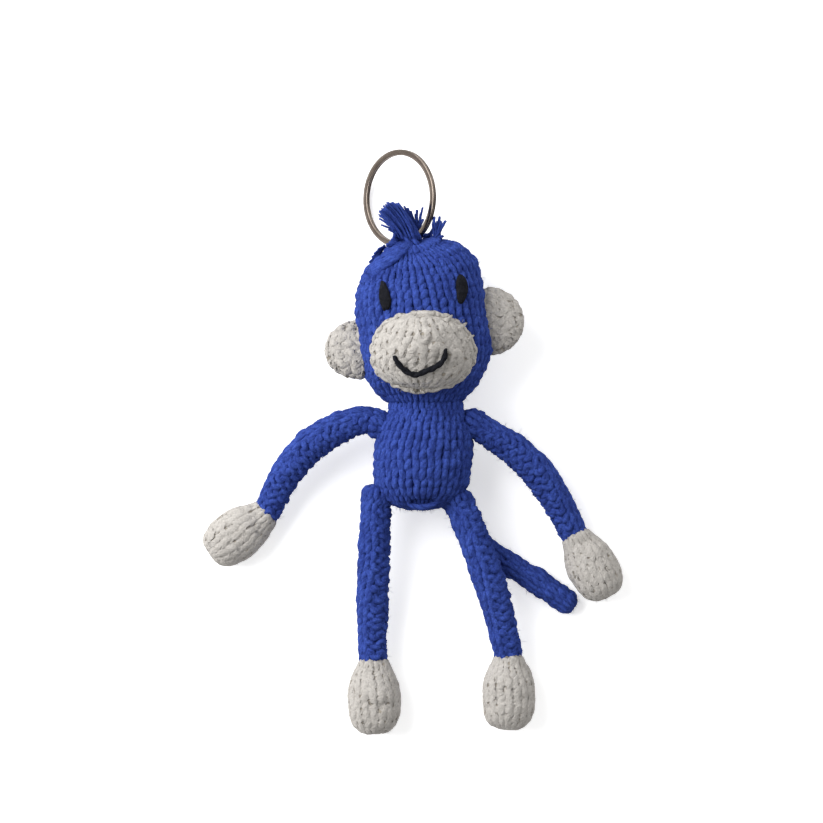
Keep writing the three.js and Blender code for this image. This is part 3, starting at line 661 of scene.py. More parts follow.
def yarn_material(name, light, dark, mottle=0.45, groove=0.45, fleck=0.7, sheen=0.1, hole_shade=None):
    """Plied cotton: diagonal plies along the yarn with painted shade between them, streaks of fibre in the
    plies and fuzz over all.

    The colour given for holes is painted shade, in small gaps between one yarn and the next.
    """
    # dark is the tone of random patches and of the painted shade between the plies; groove is that shade's
    # strength.
    plies, twist_length = 3.0, 3.2
    fibre_scale, patch_scale, hole_scale = 1700.0, 240.0, 700.0
    shader = Shader(name)
    uv = shader.node("ShaderNodeUVMap", uv_map="yarn").outputs[0]
    split = shader.node("ShaderNodeSeparateXYZ", uv)
    phase = shader.math("MULTIPLY_ADD", split.outputs[1], plies, shader.math(
        "DIVIDE", split.outputs[0], twist_length))
    ply = shader.math("MULTIPLY", shader.math("PINGPONG", phase, 0.5), 2.0)
    place = shader.node("ShaderNodeTexCoord").outputs["Object"]
    fibres = shader.noise(place, fibre_scale)
    turn = shader.math("MULTIPLY", phase, 2 * math.pi / plies)
    round_yarn = [shader.math("MULTIPLY", shader.math(way, turn), 1.9) for way in ("COSINE", "SINE")]
    streaks = shader.noise(
        shader.node("ShaderNodeCombineXYZ", split.outputs[0], *round_yarn).outputs[0], 1.6, 2.0)
    patches = shader.noise(place, patch_scale, 4.0)
    worn = tuple(a * (1 - mottle) + b * mottle for a, b in zip(light, dark))
    base = shader.mix(shader.ramp(patches, 0.3, BLACK, 0.7, WHITE), worn, light)
    # Painted shade: the grooves between the plies are darkened towards dark.
    shade_between_plies = shader.math("MULTIPLY", shader.ramp(ply, 0.0, WHITE, 0.5, BLACK), groove)
    base = shader.mix(shade_between_plies, base, dark)
    base = shader.mix(0.8 * fleck, base, shader.ramp(streaks, 0.3, grey(0.72), 0.7, grey(1.2)), "MULTIPLY")
    base = shader.mix(fleck, base, shader.ramp(fibres, 0.32, grey(0.62), 0.68, grey(1.3)), "MULTIPLY")
    height = shader.math("MULTIPLY_ADD", ply, 0.35, shader.math(
        "MULTIPLY_ADD", streaks, 0.8, shader.math("MULTIPLY", fibres, 0.9)))
    # Painted shade: small gaps between neighbouring yarns get a darker colour, which stands for the shade
    # in them.
    if hole_shade:
        flank = shader.math("ABSOLUTE", shader.math("COSINE", shader.math(
            "MULTIPLY", split.outputs[1], 2 * math.pi)))
        hole = shader.math("MULTIPLY", shader.ramp(flank, 0.4, BLACK, 0.62, WHITE), shader.ramp(
            shader.noise(place, hole_scale, 1.0), 0.57, BLACK, 0.67, WHITE))
        base = shader.mix(hole, base, hole_shade)
        height = shader.math("MULTIPLY_ADD", hole, -1.5, height)
    bumps = shader.node("ShaderNodeBump")
    for socket, value in (("Strength", 0.85), ("Distance", 0.0004), ("Height", height)):
        shader.set(bumps.inputs[socket], value)
    return shader.finish(
        Base_Color=base, Normal=bumps.outputs[0], Roughness=1.0, Specular_IOR_Level=0.08,
        Sheen_Weight=sheen, Sheen_Roughness=0.6, Sheen_Tint=light)


# Colour of the linings: painted shade that shows between the stitches, darker than the yarn, in random
# patches.
def inside_shade_material(name, colour):
    shader = Shader(name)
    place = shader.node("ShaderNodeTexCoord").outputs["Object"]
    tone = shader.ramp(shader.noise(place, 900.0), 0.3, dimmed(colour, 0.6), 0.7, colour)
    return shader.finish(Base_Color=tone, Roughness=1.0, Specular_IOR_Level=0.05)


def steel_material():
    shader = Shader("ring_steel")
    place = shader.node("ShaderNodeTexCoord").outputs["Object"]
    spots = shader.noise(place, 350.0, 4.0)
    tone = shader.ramp(spots, 0.3, linear(96, 87, 80), 0.7, linear(114, 105, 98))
    return shader.finish(Base_Color=tone, Metallic=1.0, Roughness=0.16)


# Each yarn's second colour is the tone of its random patches and of the painted shade between its plies.
blue_yarn = yarn_material("blue_yarn", linear(58, 80, 159), linear(18, 28, 90))
# The cream yarn's colour for holes is painted shade in the gaps between its yarns.
cream_yarn = yarn_material("cream_yarn", linear(180, 176, 171), linear(156, 151, 145),
                           mottle=0.3, groove=0.3, fleck=0.35, hole_shade=linear(142, 135, 124))
black_yarn = yarn_material("black_yarn", linear(33, 34, 40), linear(9, 9, 12), sheen=0.05)
ring_steel = steel_material()
# The linings' dark colours are painted shade, seen between the stitches.
BLUE = (blue_yarn, inside_shade_material("blue_inside_shade", linear(16, 25, 80)), "blue_knit")
CREAM = (cream_yarn, inside_shade_material("cream_inside_shade", linear(140, 133, 124)), "cream_knit")

# Split ring and its loop

ring_outer = 30.0
ring_band = 1.8
wire_thickness = 0.65
turn_gap = 0.06
wire_edge = 0.25
wire_steps = 300
ring_tilt = 43.6
ring_jog = 20  # degrees of the wire's turn, in which it climbs past itself
ring_end = 2  # degrees between the jog and each end
jog_place = -90
wire_room = 0.15
wire_radius = (ring_outer - ring_band) / 2
turn_offset = (wire_thickness + turn_gap) / 2
ring_across = np.array([math.cos(ring_tilt * DEG), 0, math.sin(ring_tilt * DEG)])
ring_axis = np.array([-math.sin(ring_tilt * DEG), 0, math.cos(ring_tilt * DEG)])
loop_centre = joint_place("ring_swing")
loop_inner = 1.85
loop_yarn = 0.75
loop_twists = 7
loop_ply_radius = 0.42
loop_ply_offset = 0.34
ring_swings = (-60, 0, 20)  # degrees at which the yarn keeps clear of the ring


def turned(vector, axis, angle):
    c, s = math.cos(angle * DEG), math.sin(angle * DEG)
    return vector * c + np.cross(axis, vector) * s + axis * (axis @ vector) * (1 - c)


wire_clear = math.hypot(ring_band / 2, turn_offset + wire_thickness / 2) + wire_room
for swing in ring_swings:
    swung = loop_centre + turned(wire_radius * TO_HEAD, ring_across, swing)
    keep_clear.append((swung, turned(ring_axis, ring_across, swing), wire_radius, wire_clear))
keep_clear.append((loop_centre, ring_across, loop_inner + loop_yarn, loop_yarn + 0.1))


def wire_section(steps=5):
    """A flat wire's section, with rounded edges."""
    points = []
    for x, y, first in ((1, 1, 0), (-1, 1, 90), (-1, -1, 180), (1, -1, 270)):
        for angle in np.linspace(first, first + 90, steps) * DEG:
            points.append((
                x * (ring_band / 2 - wire_edge) + wire_edge * math.cos(angle),
                y * (wire_thickness / 2 - wire_edge) + wire_edge * math.sin(angle),
            ))
    return np.array(points)


def split_ring():
    start = ring_jog / 2 + ring_end
    angle = np.linspace(start, 720 - start, wire_steps)
    climb = smoothstep(angle, 360 - ring_jog / 2, 360 + ring_jog / 2)
    turn = ((angle + jog_place) * DEG)[:, None]
    outwards = np.cos(turn) * ring_across + np.sin(turn) * TO_HEAD
    level = (turn_offset * (2 * climb - 1))[:, None]
    middle = loop_centre + wire_radius * (TO_HEAD + outwards) + level * ring_axis
    across, along = wire_section().T[..., None]
    rings = middle[:, None] + across * outwards[:, None] + along * ring_axis
    closed_form("split_ring_wire", rings, ring_steel, "split_ring", "ring_steel", ["split_ring"])


def ring_loop():
    """Two plies of yarn, twisted into a loop."""
    piece = Piece()
    turn = whole_turn(72)[:, None]
    outwards = np.cos(turn) * TO_HEAD + np.sin(turn) * np.cross(ring_across, TO_HEAD)
    for ply in (0, 1):
        twist = loop_twists * turn + ply * np.pi
        swing = loop_ply_offset * (np.cos(twist) * outwards + np.sin(twist) * ring_across)
        strand = loop_centre + outwards * (loop_inner + loop_yarn) + swing
        piece.tubes(strand, outwards, loop_ply_radius, sides=8, closed=True, rough=0)
    piece.build("ring_loop_yarn", blue_yarn, "ring_loop", "blue_knit", ["ring_loop"])


split_ring()
ring_loop()

# Head, with its rows tilted near the crown so that they close round the tuft

crown_gather = unit(np.array([-3.9, 24.1, 3.5]))
crown_axis = unit(np.cross(TO_HEAD, crown_gather))
crown_turn = math.degrees(math.acos(crown_gather[1]))
head_stitches = 22
head_knit_start = 5.5
head_knit_depth = 1.65
gather_length = 7.0  # of the stitches drawn together at the crown
head_rim = -23.2  # where the head's own form gives way to the rings under the chin
chin_rings = ((18.1, 12.9, 11.5), (17.4, 12.3, 11.1), (16.9, 11.9, 10.9))  # y, half width, half depth
chin_hem = 0.4

# The fold that runs from the side of the crown up to the tuft, and the crease under it
fold_route = [(365, 287), (371, 276.5), (381.5, 264.5), (395, 253.5), (407.5, 243.5), (419, 236)]
fold_strands = 6
fold_spacing = 1.75  # pixels
fold_yarn = 0.9
crease_depth, crease_width, crease_offset = 0.8, 1.8, 3.0
# Where the filling bulges: across and up from the head's centre, spread and rise
head_bulges = ((-15.5, -19, 6, 1.2), (20.5, -8, 5, 0.9), (9, 25, 8, 1.3), (17, 18, 5, 0.7))


def head_rings():
    y_top = head_form["reach_up"]
    upper = y_top * np.sin(np.linspace(89.2, 0, 70) * DEG)
    levels = []
    for y in np.concatenate([upper, np.linspace(-0.5, head_rim, 50)]):
        points = form_point(head_form, np.full(SKIN_COLUMNS, y), FROM_BACK)
        if y > 0:
            tilt = crown_turn * float(smoothstep(y / y_top, 0.15, 1.0))
            offset = np.array([turned(p, crown_axis, tilt) for p in points - head_centre])
            points = onto_form(head_form, head_centre + offset)
        levels.append(points)
    for y, half_width, half_depth in chin_rings:
        levels.append(oval(np.array([neck[0], y, neck[2]]), half_width, half_depth, FROM_BACK))
    return levels


def head_shape(points, v):
    """The crease under the crown's fold, the bulges, and the chin drawn in a little."""
    start, end = (photo_place(*fold_route[i], head_z)[:2] for i in (1, -1))
    run = end - start
    length = np.linalg.norm(run)
    offset = points[..., :2] - start
    along = offset @ run / length
    across = offset @ np.array([run[1], -run[0]]) / length
    front = smoothstep(points[..., 2], 14, 19)
    ends = smoothstep(along, 2, 9) * (1 - smoothstep(along, length - 2, length + 2))
    crease = crease_depth * np.exp(-((across - crease_offset) / crease_width) ** 2)
    hem = chin_hem * smoothstep(v, head_skin["length"] - 8, head_skin["length"] - 1)
    bulge = 0
    for x, y, spread, rise in head_bulges:
        away = ((points - head_centre)[..., :2] - (x, y)) / spread
        bulge = bulge + rise * np.exp(-(away ** 2).sum(axis=-1))
    return bulge - ends * front * crease - hem


def smooth_path(points, count=400):
    """A centripetal curve through points, at even steps along it."""
    points = [np.asarray(p, float) for p in points]
    points = [2 * points[0] - points[1], *points, 2 * points[-1] - points[-2]]
    found = []
    t = np.linspace(0, 1, 60, endpoint=False)[:, None]
    for a, b, c, d in zip(points, points[1:], points[2:], points[3:]):
        gap = [max(np.linalg.norm(q - p), 1e-6) ** 0.5 for p, q in ((a, b), (b, c), (c, d))]
        leave = ((b - a) / gap[0] - (c - a) / (gap[0] + gap[1]) + (c - b) / gap[1]) * gap[1]
        enter = ((c - b) / gap[1] - (d - b) / (gap[1] + gap[2]) + (d - c) / gap[2]) * gap[1]
        square = 3 * (c - b) - 2 * leave - enter
        cube = 2 * (b - c) + leave + enter
        found.append(b + leave * t + square * t ** 2 + cube * t ** 3)
    return evenly(np.vstack([*found, points[-2]]), count)


def crown_gathers(piece):
    """The stitches drawn together at the crown, and the bundle that folds over them."""
    steps = 14
    v = np.linspace(0.5, gather_length, steps)[None] + np.zeros((head_stitches, 1))
    sway = 0.12 * random.standard_normal((head_stitches, 1)) * np.sin(np.linspace(0, 3, steps))[None]
    u = (np.arange(head_stitches)[:, None] + 0.25 + sway) / head_stitches
    points, normals = on_skin(head_skin, u, v)
    rise = head_shape(points, v) + 0.25 * np.sin(np.linspace(0, np.pi, steps))[None] - knit_depth
    radii = 0.35 + 0.85 * smoothstep(v, 0, 7)
    radii = radii * (1 + 0.08 * random.standard_normal((head_stitches, 1)))
    points = clear_of_rings(points + normals * rise[..., None], radii)
    piece.tubes(points, normals, radii)

    steps = 60
    route = smooth_path(fold_route, steps)
    run = unit(np.gradient(route, axis=0))
    square = stacked(-run[:, 1], run[:, 0])
    taper = np.sin(np.linspace(0.02, 0.98, steps) * np.pi) ** 0.6
    for i in range(fold_strands):
        offset = i - (fold_strands - 1) / 2
        sway = 0.5 * np.sin(np.linspace(0, 5, steps) + 2.1 * i)
        place = route + square * (fold_spacing * (offset + 0.4 * sway) * taper)[:, None]
        dome = 1 - (2 * offset / fold_strands) ** 2
        strand, out = at_pixels(*place.T, -1.5 + (0.9 + 0.7 * dome) * taper)
        strand = clear_of_rings(strand, fold_yarn)
        piece.tubes(strand, out, 0.55 + 0.4 * taper)
        fuzz(piece, strand[None], out[None], fold_yarn, 14)


head_skin = make_skin(head_rings())
cover("head_cover", "head", head_skin, BLUE, ["head_knit", "head_stuffing"], padded=0.8,
      extra=crown_gathers, stitches=head_stitches, start=head_knit_start, depth=head_knit_depth,
      shape=head_shape)

# Body, with the seam at its lower end, and the gathered neck

torso_stitches = 18
seam_middle = (424, 503.5)  # pixels of the photograph
seam_half_length = 4.4
seam_depth = 2.4
lip_routes = [
    [(407, 502.5), (413, 507), (421, 508), (430, 506), (438, 501.5)],
    [(409, 506.5), (414, 510), (421, 511), (430, 509), (436, 505.5)],
]
torso_top = 14.3
neck_levels = ((13.2, 12.2, 11.2), (14.6, 11.9, 10.9), (16.4, 11.4, 10.5), (17.8, 11.3, 10.4))
neck_x, neck_z = neck[0] + 0.3, neck[2] - 0.2


def torso_rings():
    down = -torso_form["reach_down"] * np.sin(np.linspace(0, 88.5, 50) * DEG)
    heights = np.concatenate([np.linspace(torso_top, 0.5, 30), down])
    return [form_point(torso_form, np.full(SKIN_COLUMNS, y), FROM_BACK) for y in heights]


def torso_shape(points, _):
    """The seam's groove."""
    x, y = photo_place(*seam_middle, 16)[:2]
    across = np.exp(-(points[..., 1] - y) ** 2)
    along = 1 - smoothstep(np.abs(points[..., 0] - x), seam_half_length - 1.5, seam_half_length)
    return -seam_depth * across * along * smoothstep(points[..., 2], 10, 13)


def torso_lip(piece):
    """Yarn along the seam's lower side."""
    steps = 40
    for route in lip_routes:
        strand = onto_form(torso_form, photo_place(*smooth_path(route, steps).T, 18))
        out = unit(strand - torso_form["centre"])
        taper = np.sin(np.linspace(0.05, 0.95, steps) * np.pi)
        strand = strand + out * (taper - 1.3)[:, None]
        piece.tubes(strand, out, 0.6 + 0.5 * taper)


torso_skin = make_skin(torso_rings())
cover("torso_cover", "torso", torso_skin, BLUE, ["torso_knit", "torso_stuffing"], padded=0.8,
      extra=torso_lip, stitches=torso_stitches, shape=torso_shape)

neck_skin = make_skin([
    oval(np.array([neck_x, y, neck_z]), half_width, half_depth, FROM_BACK)
    for y, half_width, half_depth in neck_levels
])
neck_piece = Piece()
knit(neck_piece, neck_skin, torso_stitches, loose=1.4, height=2.3, radius=1.1, depth=1.6)
neck_cover = neck_piece.build("neck_cover", blue_yarn, None, "blue_knit", ["neck_gather"])
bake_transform(neck_cover)

# Arms, legs, hands, feet and tail

seam_standoff = 0.7
seam_cover_radius = 4.7
seam_stitches = 6
cuffs = {"arm": 0.0, "leg": -1.0}  # how far a hand or foot reaches over the end of its limb
cuff_proud = 0.4
end_full = 2.6  # how full a hand or foot is towards its own end
tail_half_width = 3.9
tail_half_depth = 3.6
tail_stitches = 6
tail_z = tail_half_depth - table_flat
tail_path = [(0, 0), (5.2, -5.1), (8.3, -11.4), (12.1, -16.7), (17.3, -20.5), (29.3, -27.6), (37.5, -33.5)]

limb_sizes = {
    "arm": {"root": 4.4, "middle": 5.1, "end": 4.4, "length": 22.3, "half_width": 7.8, "half_depth": 6.2},
    "leg": {"root": 4.5, "middle": 4.8, "end": 4.3, "length": 23.8, "half_width": 8.1, "half_depth": 7.2},
}
limb_knit_start, limb_knit_left = 1.8, 5.0  # from the limb's root, and before its end
over_tail = -1.0
# Each limb's side, the height of its root on the body, the heading of its hand or foot, and
# its path from the root: across, up, and the share of the root's height that is left there
limbs = {
    "right_arm": (-1, 10.7, 216, [
        (-5.6, 0.8, 0.98), (-18.1, -4.8, 0.72), (-28.2, -15.3, 0.35), (-34.4, -27.6, 0)]),
    "left_arm": (1, 10.8, -61, [
        (5.2, -3.1, 0.98), (17.1, -11.5, 0.72), (25.8, -23.2, 0.35), (31.7, -34.5, 0)]),
    "right_leg": (-1, -11.2, -88.5, [
        (-0.5, -5.2, 0.95), (-0.9, -17.5, 0.6), (-1.6, -34.3, 0.15), (-1.4, -49.8, 0)]),
    "left_leg": (1, -12.8, -90, [
        (2.3, -5.4, 1), (6.9, -17.6, over_tail), (11.1, -29.9, 0.6), (15.2, -46.7, 0)]),
}
stitch_counts = {"arm": 7, "leg": 6, "hand": 9, "foot": 9}


def side_and_over(along):
    """The level way square to a direction, and the way square to both."""
    side = unit(np.cross(along, UP))
    return side, np.cross(side, along)


def tube_rings(path, radius_at, flatten=1.0, start_cap=True):
    """Rings round a path, with a rounded end and, where asked, a rounded start."""
    tangents = unit(np.gradient(path, axis=0))
    cap = np.linspace(6, 86, 9)
    last = len(path) - 1
    places = [(at, 0) for at in range(0, len(path), 5)] + [(last, angle) for angle in cap]
    if start_cap:
        places = [(0, -angle) for angle in cap[::-1]] + places
    rings = []
    for at, angle in places:
        side, over = side_and_over(tangents[at])
        radius = radius_at(at / last)
        middle = path[at] + tangents[at] * radius * math.sin(angle * DEG)
        turn = FROM_BACK[:, None]
        ring = np.cos(turn) * side + flatten * np.sin(turn) * over
        rings.append(middle + radius * math.cos(angle * DEG) * ring)
    return rings


def ball_rings(centre, axis, radius):
    side, over = side_and_over(axis)
    round_axis = np.cos(FROM_BACK)[:, None] * side + np.sin(FROM_BACK)[:, None] * over
    angles = np.linspace(-86, 86, 30) * DEG
    return [centre + radius * (math.sin(a) * axis + math.cos(a) * round_axis) for a in angles]


def end_rings(root, heading, size, cuff):
    """A hand or foot, round where its limb ends, to its own rounded end."""
    along = np.array([math.cos(heading * DEG), math.sin(heading * DEG), 0])
    side = np.cross(along, UP)
    root_share = size["end"] / size["half_width"]
    flatter = size["half_depth"] - size["half_width"]
    rounded = 0.5 + 0.5 * np.sin(np.linspace(3, 88.5, 30) * DEG) ** (2 / end_full)
    turn = FROM_BACK[:, None]
    rings = []
    for at in np.concatenate([np.linspace(-cuff / size["length"], 0.5, 32), rounded]):
        if at < 0.5:
            narrow = root_share + (1 - root_share) * math.sin(math.pi * max(at, 0))
            narrow += cuff_proud / size["half_width"] * (1 - float(smoothstep(at, -0.02, 0.12)))
        else:
            narrow = float(swell((at - 0.5) / 0.5, end_full))
        deep = size["half_width"] + flatter * float(smoothstep(at, 0, 0.15))
        ring = size["half_width"] * np.cos(turn) * side + deep * np.sin(turn) * UP
        rings.append(root + along * at * size["length"] + narrow * ring)
    return rings


def bumpy_top(towards):
    """Purl stitches on the upper side, nearer to one edge, with plain ones at the other."""
    def purl(rows, stitches):
        bumpy = np.abs((np.arange(stitches) + 0.5) / stitches - 0.5 - 0.12 * towards) < 0.17
        return np.broadcast_to(bumpy, (rows, stitches))

    return purl


def all_bumps(rows, stitches):
    return np.ones((rows, stitches), bool)


def seam_place(side, height):
    """Where a limb is sewn to the body."""
    turn = np.pi if side < 0 else 0.0
    step = 0.01

    def at(up, round_by):
        return form_point(torso_form, np.array(height + up), turn + round_by)

    out = np.cross(at(step, 0) - at(-step, 0), at(0, step) - at(0, -step))
    return at(0, 0) + unit(out) * seam_standoff


def make_limb(name, side, height, heading, path):
    which, kind = name.split("_")
    size = limb_sizes[kind]
    end_kind, seam_kind = ("hand", "shoulder") if kind == "arm" else ("foot", "hip")
    seam = seam_place(side, height)
    end_z = size["half_depth"] - table_flat
    lying_over = tail_z + tail_half_depth + seat_gap + size["middle"]
    points = [seam]
    for x, y, share in path:
        z = lying_over if share == over_tail else end_z + (seam[2] - end_z) * share
        points.append(np.array([seam[0] + x, seam[1] + y, z]))

    def radius_at(at):
        first, last = (size["root"], size["middle"]) if at < 0.5 else (size["middle"], size["end"])
        return first + (last - first) * float(smoothstep(at * 2 if at < 0.5 else at * 2 - 1, 0, 1))

    skin = make_skin(tube_rings(smooth_path(points), radius_at, start_cap=False))
    cover(name + "_cover", name, skin, BLUE, [name], lining_start=2.6,
          stitches=stitch_counts[kind], start=limb_knit_start, end=skin["length"] - limb_knit_left,
          purl=bumpy_top(-1 if name == "left_arm" else 1), loose=1.1, depth=1.2, relief=0.4)

    seam_name = f"{which}_{seam_kind}"
    ball_skin = make_skin(ball_rings(seam, unit(points[1] - seam), seam_cover_radius))
    cover(seam_name + "_cover", seam_name, ball_skin, BLUE, [seam_name + "_seam"],
          stitches=seam_stitches, start=1.0, end=ball_skin["length"] - 1.0, loose=1.5, v_up=1)

    end_name = f"{which}_{end_kind}"
    end_skin = make_skin(end_rings(points[-1], heading, size, cuffs[kind]))
    cover(end_name + "_cover", end_name, end_skin, CREAM, [end_name, end_name + "_stuffing"],
          padded=0.7, stitches=stitch_counts[end_kind], start=0.8, end=end_skin["length"] - 1.2,
          **smooth_knit)


for limb_name, limb in limbs.items():
    make_limb(limb_name, *limb)

tail_root = joint_place("tail_lift")
tail_curve = smooth_path([tail_root + np.array([x, y, 0]) for x, y in tail_path])
tail_rings = tube_rings(tail_curve, lambda at: tail_half_width, tail_half_depth / tail_half_width)
tail_skin = make_skin(tail_rings)
cover("tail_cover", "tail", tail_skin, BLUE, ["tail"],
      stitches=tail_stitches, start=1.0, end=tail_skin["length"] - 1.0, loose=1.4, depth=1.2, relief=0.5)

# Ears

ear_reach = 11
ear_half_thickness = 3.6
ear_behind = 1.0
ear_inset = 1.3  # of the lining, under the skin
ear_stitches = 6
ears = {"right_ear": (-1, -8.5, 9.6), "left_ear": (1, 0.2, 11)}  # side, place up the head, half height


def ear_rings(centre, side, half_height, inset, turn, rises):
    """Half ovals that stand out of the head's side, from the ear's lower end to its upper."""
    rings = []
    for rise in rises * DEG:
        share = math.cos(rise)
        middle = centre + (half_height - inset) * math.sin(rise) * TO_HEAD
        reach, half_thickness = side * (ear_reach - inset) * share, (ear_half_thickness - inset) * share
        rings.append(oval(middle, reach, half_thickness, turn))
    return rings


def make_ear(name, side, y, half_height):
    middle, edge_width, _ = section(head_form, np.array(y))
    centre = middle + side * edge_width * ACROSS - ear_behind * UP
    open_side = np.linspace(-100, 100, SKIN_COLUMNS) * DEG * side
    outer = ear_rings(centre, side, half_height, 0, open_side, np.linspace(-80, 80, 40))
    piece = Piece()
    skin = make_skin(outer, closed=False, behind=centre)
    knit(piece, skin, ear_stitches, purl=all_bumps, v_up=1, **smooth_knit)
    piece.build(name + "_cover", cream_yarn, "head", "cream_knit", [name])
    inner = ear_rings(centre, 1, half_height, ear_inset, ALL_ROUND, np.linspace(-88, 88, 24))
    closed_form(name + "_lining", np.array(inner), CREAM[1], "head", "cream_knit")


for ear_name, ear in ears.items():
    make_ear(ear_name, *ear)

# Muzzle, in pixels of the photograph

muzzle_middle = (423.5, 352)
muzzle_half_height = 41  # pixels
muzzle_full = 2.3
# Levels of the muzzle, from its top down, and its left and right edge there
muzzle_levels = [311, 315, 321, 328, 340, 352, 362, 373, 380, 388, 393]
muzzle_left = [419, 398, 385, 377.5, 371.5, 370, 370.5, 375, 384, 397, 414]
muzzle_right = [434, 447, 458, 466.5, 474, 477, 475, 469, 462, 449, 422]
muzzle_bulge, nose_bulge, nose_height, nose_spread = 5.2, 2.6, 4.5, 5.0
muzzle_edge_height = 1.15
muzzle_stitches = 7
rim_share = 0.945  # of the way from the muzzle's middle to its edge
rim_yarn = 0.95
rim_sunk = 0.9
lining_under = 1.6
lining_foot = -1.5  # over the head's skin
# Stitches that stand off the muzzle's upper right edge, each from its root to its tip
loose_stitches = [((445, 322), (452, 315.5)), ((457, 330), (466.5, 323)), ((464, 341), (473.5, 335.5))]


def muzzle_span(py):
    """Middle and half width of the muzzle at a level, in pixels."""
    left, right = (np.interp(py, muzzle_levels, edge) for edge in (muzzle_left, muzzle_right))
    return (left + right) / 2, (right - left) / 2


def muzzle_rise(px, py, share):
    """Height of the muzzle over the head. share is 0 in its middle and 1 at its edge."""
    x = (px - muzzle_middle[0]) * pixel
    y = (muzzle_middle[1] - py) * pixel
    nose = np.exp(-(x ** 2 + (y - nose_height) ** 2) / (2 * nose_spread ** 2))
    dome = np.maximum(0, 1 - share ** 2) ** 0.6
    edge = seat_gap + muzzle_edge_height - smoothstep(share, 0.85, 1)
    return edge + (muzzle_bulge - muzzle_edge_height + nose_bulge * nose) * dome


def muzzle_share(px, py):
    middle, half = muzzle_span(py)
    level = (muzzle_middle[1] - py) / muzzle_half_height
    across = np.abs((px - middle) / half) * swell(level, muzzle_full)
    return (across ** muzzle_full + np.abs(level) ** muzzle_full) ** (1 / muzzle_full)


def on_muzzle(px, py, height):
    """Points at heights over the muzzle's skin at pixels of the photograph."""
    return at_pixels(px, py, muzzle_rise(px, py, muzzle_share(px, py)) + height)


def muzzle_place(turn, share):
    """The pixel at a direction from the muzzle's middle and a share of the way to its edge."""
    level, across = (np.sign(v) * np.abs(v) ** (2 / muzzle_full) for v in (np.sin(turn), np.cos(turn)))
    py = muzzle_middle[1] - level * muzzle_half_height
    middle, half = muzzle_span(py)
    px = middle + half * across / np.maximum(swell(level, muzzle_full), 0.02)
    return tuple(m + share * (p - m) for m, p in zip(muzzle_middle, (px, py)))


def muzzle_edging(piece):
    """The edge that is sewn down all round, and the loose stitches at its upper right."""
    turn = whole_turn(240)
    share = rim_share + 0.012 * np.sin(19 * turn) + 0.008 * np.sin(31 * turn + 1)
    px, py = muzzle_place(turn, share)
    points, out = at_pixels(px, py, muzzle_rise(px, py, share) - rim_sunk)
    radii = rim_yarn + 0.12 * np.sin(25 * turn)
    piece.tubes(points, out, radii, closed=True)
    fuzz(piece, points[None], out[None], radii, 24)
    along = np.linspace(0, 1, 9)
    for root, tip in loose_stitches:
        px, py = (a + (b - a) * along for a, b in zip(root, tip))
        points, out = at_pixels(px, py, 2.4 - 2.0 * along ** 2)
        piece.tubes(points, out, 1.35 - 1.05 * along ** 0.8)


def make_muzzle():
    columns = np.sin(np.linspace(-90, 90, SKIN_COLUMNS) * DEG)
    rings = []
    for level in np.sin(np.linspace(-80, 80, 60) * DEG):
        py = muzzle_middle[1] - level * muzzle_half_height + 0 * columns
        middle, half = muzzle_span(py)
        rings.append(on_muzzle(middle + half * columns, py, 0)[0])
    skin = make_skin(rings, closed=False, behind=head_centre + np.array([0, -9, 0]))
    piece = Piece()
    knit(piece, skin, muzzle_stitches, loose=1.3, v_up=1, **smooth_knit)
    muzzle_edging(piece)
    piece.build("muzzle_cover", cream_yarn, "head", "cream_knit", ["muzzle_knit", "muzzle_stuffing"], 0.7)

    foot, top = [], []
    for share in np.linspace(0.03, 0.93, 14):
        px, py = muzzle_place(ALL_ROUND, share)
        foot.append(at_pixels(px, py, lining_foot)[0])
        top.insert(0, at_pixels(px, py, muzzle_rise(px, py, share) - lining_under)[0])
    closed_form("muzzle_lining", np.array(foot + top), CREAM[1], "head", "cream_knit")


make_muzzle()

# Eyes and mouth, in pixels of the photograph

eye_strands = 8
eye_edge = 0.12  # of an eye's width, from its outline to the middle of its outer strand
# Top, left edge, right edge and bottom of each eye
eyes = {
    "right_eye": ((382.8, 281), [(379.8, 289), (378.9, 297), (381.2, 305.5)],
                  [(387, 287.5), (390.4, 297), (390.6, 304)], (386.3, 310.5)),
    "left_eye": ((460.3, 274.5), [(456.6, 280), (456.2, 289), (457.6, 298.5)],
                 [(466, 279.5), (468.3, 289), (465.3, 298)], (460.6, 304.5)),
}
mouth_route = [
    (394, 355.5), (396.5, 361), (402, 368), (409, 373), (416, 374.8),
    (425, 371.5), (434, 367.8), (441, 363), (445, 356), (445.5, 348.5),
]
mouth_twists = 4
mouth_ply_radius = 0.74
mouth_ply_offset = 0.26
mouth_thinner = 0.22  # at its corners
mouth_height, mouth_dip = 0.55, 1.3
eye_yarn = 0.44
eye_fan, eye_uneven, eye_inset = 2.2, 0.6, 1.3  # pixels, at the strands' ends
eye_foot, eye_rise, eye_crown = -0.6, 1.15, 0.4


def make_eye(name, top, left, right, bottom):
    piece = Piece()
    top, left, right, bottom = (np.array(place, float) for place in (top, left, right, bottom))
    along = np.linspace(-1, 1, 21)
    for i in range(eye_strands):
        share = i / (eye_strands - 1)
        across = eye_edge + (1 - 2 * eye_edge) * share
        spread = np.array([eye_fan * (share - 0.5), eye_uneven * random.standard_normal()])
        inset = np.array([0, eye_inset])
        route = [top + spread + inset, *(left * (1 - across) + right * across), bottom + spread - inset]
        crown = math.sqrt(max(0, 1 - (2 * share - 1) ** 2))
        height = eye_foot + (eye_rise + eye_crown * crown) * np.maximum(0, 1 - along ** 4) ** 0.5
        points, out = at_pixels(*smooth_path(route, len(along)).T, height)
        piece.tubes(points, out, eye_yarn, sides=8)
    piece.build(name + "_stitches", black_yarn, "head", "black_yarn", [name])


